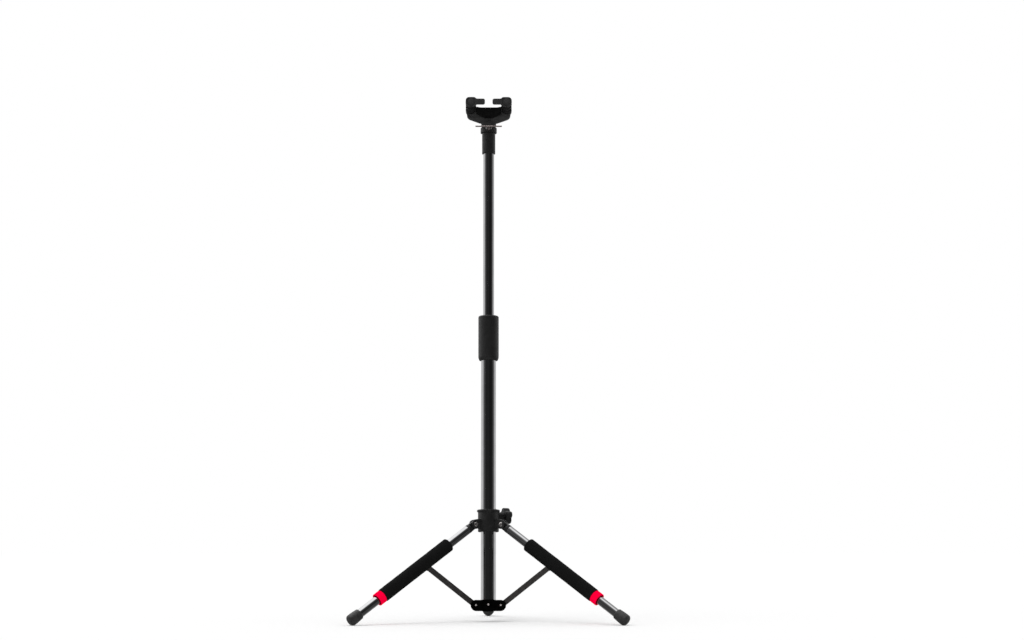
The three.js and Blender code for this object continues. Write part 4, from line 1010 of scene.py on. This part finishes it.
def yokeHousing():
    # an outline given a thickness, its front sloping back below as a chin; a barrel over the socket's post;
    # a round collar about each arm
    low, high = corners("yoke_housing", shaft)
    halfWidth, front, back = high[0], low[1], yokeStyle["back"]
    armX, level = armAt[0], armAt[2]
    top = level + yokeStyle["top"]
    neckHalf, neckDrop = yokeStyle["neck"]
    saddleFrom, saddleTo, saddleRise = yokeStyle["saddle"]
    rightHalf = [[neckHalf, level - neckDrop], [halfWidth, level - yokeStyle["sideDrop"]], [halfWidth, top],
                 [saddleTo, top], [saddleFrom, level + saddleRise]]
    corner = yokeStyle["corners"]
    outline = softened(rightHalf + [[-x, z] for x, z in rightHalf[::-1]], corner + corner[::-1], 8)
    points, faces = slab(outline, front, back, yokeStyle["edge"])
    fall = np.clip((level - yokeStyle["chinDrop"] - points[:, 2]) / (neckDrop - yokeStyle["chinDrop"]), 0, 1)
    chin = front + yokeStyle["chinDepth"] * fall
    points[:, 1] = chin + (points[:, 1] - front) * (back - chin) / (back - front)
    barrelFoot = level - yokeStyle["barrelDrop"]
    shapes = [(points, faces), rodRound(yokeStyle["barrel"], barrelFoot, level + 3, 2.5, 96)]
    tools = [rodRound(yokeStyle["postBore"], level - 60, level - 1, 0.3, 64)]
    collarRadius, collarRound = yokeStyle["collar"]
    for x in [-armX, armX]:
        shapes.append(crossRod(collarRadius, front, back, x, level, collarRound, 80))
        tools.append(crossRod(yokeStyle["armBore"], -40, -6, x, level))
    dressed("yoke_casting", "yoke_housing", shapes, shaft, "yokeRubber", yokeStyle["voxel"],
            yokeStyle["rounds"], tools)


padStyle = {"hollow": 2.4, "edge": 1.1, "dip": 2.9, "side": 11.0, "neck": 9.0, "steps": 17}


def cradlePad():
    # a dished skin: its front lies further back by hollow (1 - (x/half)^2), its top edge dips the same way
    low, high = corners("cradle_pad", shaft)
    half = high[0]
    side = armAt[2] - padStyle["side"]
    neck, steps = padStyle["neck"], padStyle["steps"]
    topLine = [[x * half, high[2] - padStyle["dip"] * (1 - x ** 2)] for x in np.linspace(1, -1, steps)]
    outline = softened([[-half, side], [-neck, low[2]], [neck, low[2]], [half, side], *topLine],
                       [2.5, 3, 3, 2.5, 2.0] + [0] * (steps - 2) + [2.0])
    points, faces = slab(outline, low[1], high[1], padStyle["edge"])
    depth = np.clip((high[1] - points[:, 1]) / (high[1] - low[1]), 0, 1)
    points[:, 1] += depth * padStyle["hollow"] * (1 - np.clip(points[:, 0] / half, -1, 1) ** 2)
    # the pad's darker tones are partly painted shade of its recess
    dressed("cradle_pad_rubber", "cradle_pad", [(points, faces)], shaft, "padBlackAndPaintedShade", 0.6, 1)


# the steps are where the bellows step up, as shares of the sleeve's length
sleeveStyle = {"steps": (0.335, 0.735), "deep": 1.6, "rim": 0.7, "fuller": 1.3}


def ribbedSleeve(name, arm):
    # three bellows, each a cone that is widest at its front rim and falls by deep to its back
    outer, inner, low, high = roundSizes("arm_sleeve_" + name, arm)
    outer += sleeveStyle["fuller"]
    breaks = low + (high - low) * np.array([0, *sleeveStyle["steps"], 1])
    profile, soft = [[inner, low]], [0.3]
    for back, front in zip(breaks[:-1], breaks[1:]):
        profile += [[outer - sleeveStyle["deep"], back], [outer, front]]
        soft += [0.25, sleeveStyle["rim"]]
    sleeve = revolved(softened(profile + [[inner, high]], soft + [0.3]), 80)
    # the sleeves take the darker rubber, whose tones are painted shade
    dressed("ribbed_sleeve_" + name, "arm_sleeve_" + name, [sleeve], arm, "sleeveRubberPaintedShade")


gateStyle = {"edge": 1.2, "finger": (-6.1, 7.0), "half": 10.6, "outerHalf": 11.7, "corner": 9.0,
             "spindle": 4.0, "inside": (0.85, 1.15), "groove": (8.4, 9.9, 1.3)}


def gatePiece(name, side, back):
    # a square boss with round corners and a finger towards the middle, on a spindle through the arm;
    # a ring groove round the middle of the boss
    gate = shaft.moved(side * armAt[0], 0, armAt[2])
    low, high = corners("gate_" + name, gate)
    tip = -side * max(abs(low[0]), abs(high[0]))
    half, corner = gateStyle["half"], gateStyle["corner"]
    outside = side * gateStyle["outerHalf"]
    inside, neck = [-side * half * share for share in gateStyle["inside"]]
    fingerFoot, fingerTop = gateStyle["finger"]
    outline = softened([
        [outside, -half], [outside, half], [inside, half], [neck, fingerTop],
        [tip, fingerTop], [tip, fingerFoot], [neck, fingerFoot], [inside, -half],
    ], [corner, corner, 5.5, 3.0, 4.5, 4.5, 3.0, 5.5], 9)
    bar = slab(outline, low[1], back, gateStyle["edge"], 5)
    spindle = crossRod(gateStyle["spindle"], back - 2, high[1], soft=0.6)
    grooveIn, grooveOut, grooveDeep = gateStyle["groove"]
    groove = alongY(tubeRound(grooveOut, grooveIn, low[1] - 3, low[1] + grooveDeep, 0.2, 80))
    dressed("gate_" + name + "_rubber", "gate_" + name, [bar, spindle], gate, "yokeRubber", 0.5, 2, [groove])


capStyle = {"rim": 0.25, "blunt": 0.6}


def armPieces(name, side):
    arm = shaft.moved(side * armAt[0], 0, armAt[2]).laid([0, -1, 0], [1, 0, 0])
    tubePiece("arm_tube_" + name, arm, 0.4, 64)
    ribbedSleeve(name, arm)
    gatePiece(name, side, -roundSizes("arm_sleeve_" + name, arm)[3] - gap)
    outer, _, low, high = roundSizes("gate_cap_" + name, arm)
    rim = low + capStyle["rim"]
    t = np.linspace(0, math.pi / 2, 10)
    dome = np.stack([outer * np.sin(t), rim + (high - rim) * np.cos(t) ** capStyle["blunt"]], -1)
    cap = revolved(np.concatenate([dome, [[outer, low], [0, low]]]), 56)
    dressed("gate_cap_" + name + "_disc", "gate_cap_" + name, [cap], arm, "capPlastic")


yokeHousing()
cradlePad()
armPieces("left", -1)
armPieces("right", 1)
print("stage: yoke")


# Bow holder

bowStyle = {"wall": 3.2, "ear": (2.8, 5.2, 4.2), "bar": 1.6, "eye": (3.9, 2.5), "hole": 1.8, "pin": 1.5}


def bowPieces():
    # a clamp with two ears round the socket, and a T bar of round wire on a pin between the ears
    place = shaft.turned(-90)  # X to the front
    hinge, height = np.abs(shaft.back([jointPlace("bow_holder_fold")])[0])[1:]
    low, high = roundSizes("bow_holder_clamp", shaft)[2:]
    inner = roundSizes("yoke_socket", shaft)[0] + gap
    near, far, earRadius = bowStyle["ear"]
    ear = earOutline(inner + 1.5, hinge, height, earRadius)
    hole = crossRod(bowStyle["hole"], -10, 10, hinge, height)
    dressed("bow_clamp", "bow_holder_clamp",
            [tubeRound(inner + bowStyle["wall"], inner, low, high, 0.9, 80), *earPair(ear, near, far, 0.5)],
            place, "blackPlastic", 0.5, 2, [hole, rodRound(inner, low - 3, high + 3, 0.1, 96)])
    low, high = corners("bow_holder_bar", place)
    bar = bowStyle["bar"]
    reach = high[0] - bar
    eyeRadius, eyeHalf = bowStyle["eye"]
    stem = levelRod(bar, hinge + eyeHalf, reach, height, 0.3)
    cross = crossRod(bar, low[1], high[1], reach, height, bar, 32)
    eye = crossRod(eyeRadius, -eyeHalf, eyeHalf, hinge, height, 0.5)
    dressed("bow_bar", "bow_holder_bar", [eye, stem, cross], place, "barSteel", 0.3, 1, [hole])
    pinAt = place.moved(hinge, 0, height).laid([0, 1, 0])
    pinPiece("bow_pin_steel", "bow_holder_pin", pinAt, bowStyle["pin"], 0.7)


bowPieces()
print("stage: bow holder")


# Springs: a round wire along a helix whose pitch closes up at both ends

springTurns = 5
springStyle = {"clutch_spring": 0.9, "yoke_spring": 0.8}  # radius of the wire
for node, wire in springStyle.items():
    outer, _, low, high = roundSizes(node, shaft)
    s = np.linspace(0, 1, springTurns * 40 + 1)
    eased = s - 0.09 * np.sin(2 * math.pi * s)
    angle = 2 * math.pi * springTurns * s
    around = np.stack([np.cos(angle), np.sin(angle), 0 * angle], -1)
    coil = around * (outer - wire)
    coil[:, 2] = low + wire + (high - low - 2 * wire) * eased
    dressed(node + "_wire", node, [carried(circle(wire, 12), coil, around)], shaft, "springSteel")
print("stage: springs")


# CAD nodes that stay: the bushes and the grip plate inside the clutch

for node, item in frame["nodes"].items():
    if item.hide_render:
        continue
    finish = "platedSteel" if node == "clutch_plate" else "blackPlastic"
    item.data.materials.clear()
    item.data.materials.append(materials[finish])
print("stage: pieces", len(pieces))


# Floor, light and camera

floorStyle = {"size": 14.0, "shown": shade(249)}


def makeFloor():
    half = floorStyle["size"] / 2
    mesh = bpy.data.meshes.new("floor")
    spots = [(x * half, y * half, 0) for x, y in [(-1, -1), (1, -1), (1, 1), (-1, 1)]]
    mesh.from_pydata(spots, [], [(0, 1, 2, 3)])
    material = bpy.data.materials.new("paleFloor")
    finish = Finish(material)
    diffuse = finish.node("BsdfDiffuse", None, {"Color": floorStyle["shown"]})
    finish.node("OutputMaterial", None, {"Surface": diffuse})
    mesh.materials.append(material)
    floor = placed("floor", mesh)
    floor.visible_glossy = False


lightStyle = {"world": 0.86, "sun": 0.75, "sunWidth": 38, "sunFrom": (-0.42, -0.30, 0.86)}


def studioLevel(x, y, z):
    # what a polished surface meets in each direction: white walls beside and behind the stand, a dark room
    # where the viewer is, a darker corner up on the right, a soft box above on the left and behind,
    # a dim ground, and a pale patch of it in front
    near = y * -1
    swung = near + x * 0.08
    front = swung.step(-0.20, 0.25) * 0.86 + swung.step(0.20, 0.75) * 0.14
    walls = (1 - front) * 1.07 + 0.035 + z.step(0.2, 0.7) * 0.07
    walls = walls * (1 - x.step(0.10, 0.35) * z.step(0.03, 0.25) * 0.45)
    below = (z * -1).step(0.0, 0.18)
    ground = y.step(0.0, 1.0) * 0.36 + 0.10 + (z * -1).step(0.45, 0.8) * near.step(0.3, 0.55) * 0.8
    level = walls * (1 - below) + ground * below
    softBox = (1 - x.step(0.02, 0.33)) * y.step(-0.57, -0.16) * z.step(0.5, 0.7)
    return level * (1 - softBox) + softBox * 2.15


def makeLight():
    world = bpy.data.worlds.new("studio")
    scene.world = world
    world.cycles.sampling_method = "NONE"
    finish = Finish(world)
    level = studioLevel(*finish.axes("Generated"))
    seen = sum(finish.node("LightPath", output=ray) for ray in ["Is Camera Ray", "Is Transmission Ray"])
    mirrored = finish.node("LightPath", output="Is Glossy Ray")
    plain = seen * (1 - lightStyle["world"]) + lightStyle["world"]
    strength = plain * (1 - mirrored) + level * mirrored
    ground = finish.node("Background", None, {"Color": (1, 1, 1, 1), "Strength": strength})
    finish.node("OutputWorld", None, {"Surface": ground})
    lamp = bpy.data.lights.new("softSun", "SUN")
    lamp.energy = lightStyle["sun"]
    lamp.angle = math.radians(lightStyle["sunWidth"])
    sun = placed("softSun", lamp)
    sun.rotation_euler = Vector(lightStyle["sunFrom"]).to_track_quat("Z", "Y").to_euler()
    sun.visible_glossy = False  # the reflections come from the studio alone


cameraStyle = {"distance": 5.5, "height": 0.263, "up": 4.21, "turn": -0.544, "lens": 87.04}


def makeCamera():
    data = bpy.data.cameras.new("camera")
    data.lens = cameraStyle["lens"]
    data.sensor_width = 36
    camera = placed("camera", data)
    camera.location = (0, shaftFoot[1] - cameraStyle["distance"], cameraStyle["height"])
    camera.rotation_euler = (math.radians(90 + cameraStyle["up"]), 0, math.radians(cameraStyle["turn"]))
    scene.camera = camera


makeFloor()
makeLight()
makeCamera()
scene.view_settings.view_transform = "Standard"
print("stage: floor, light and camera")
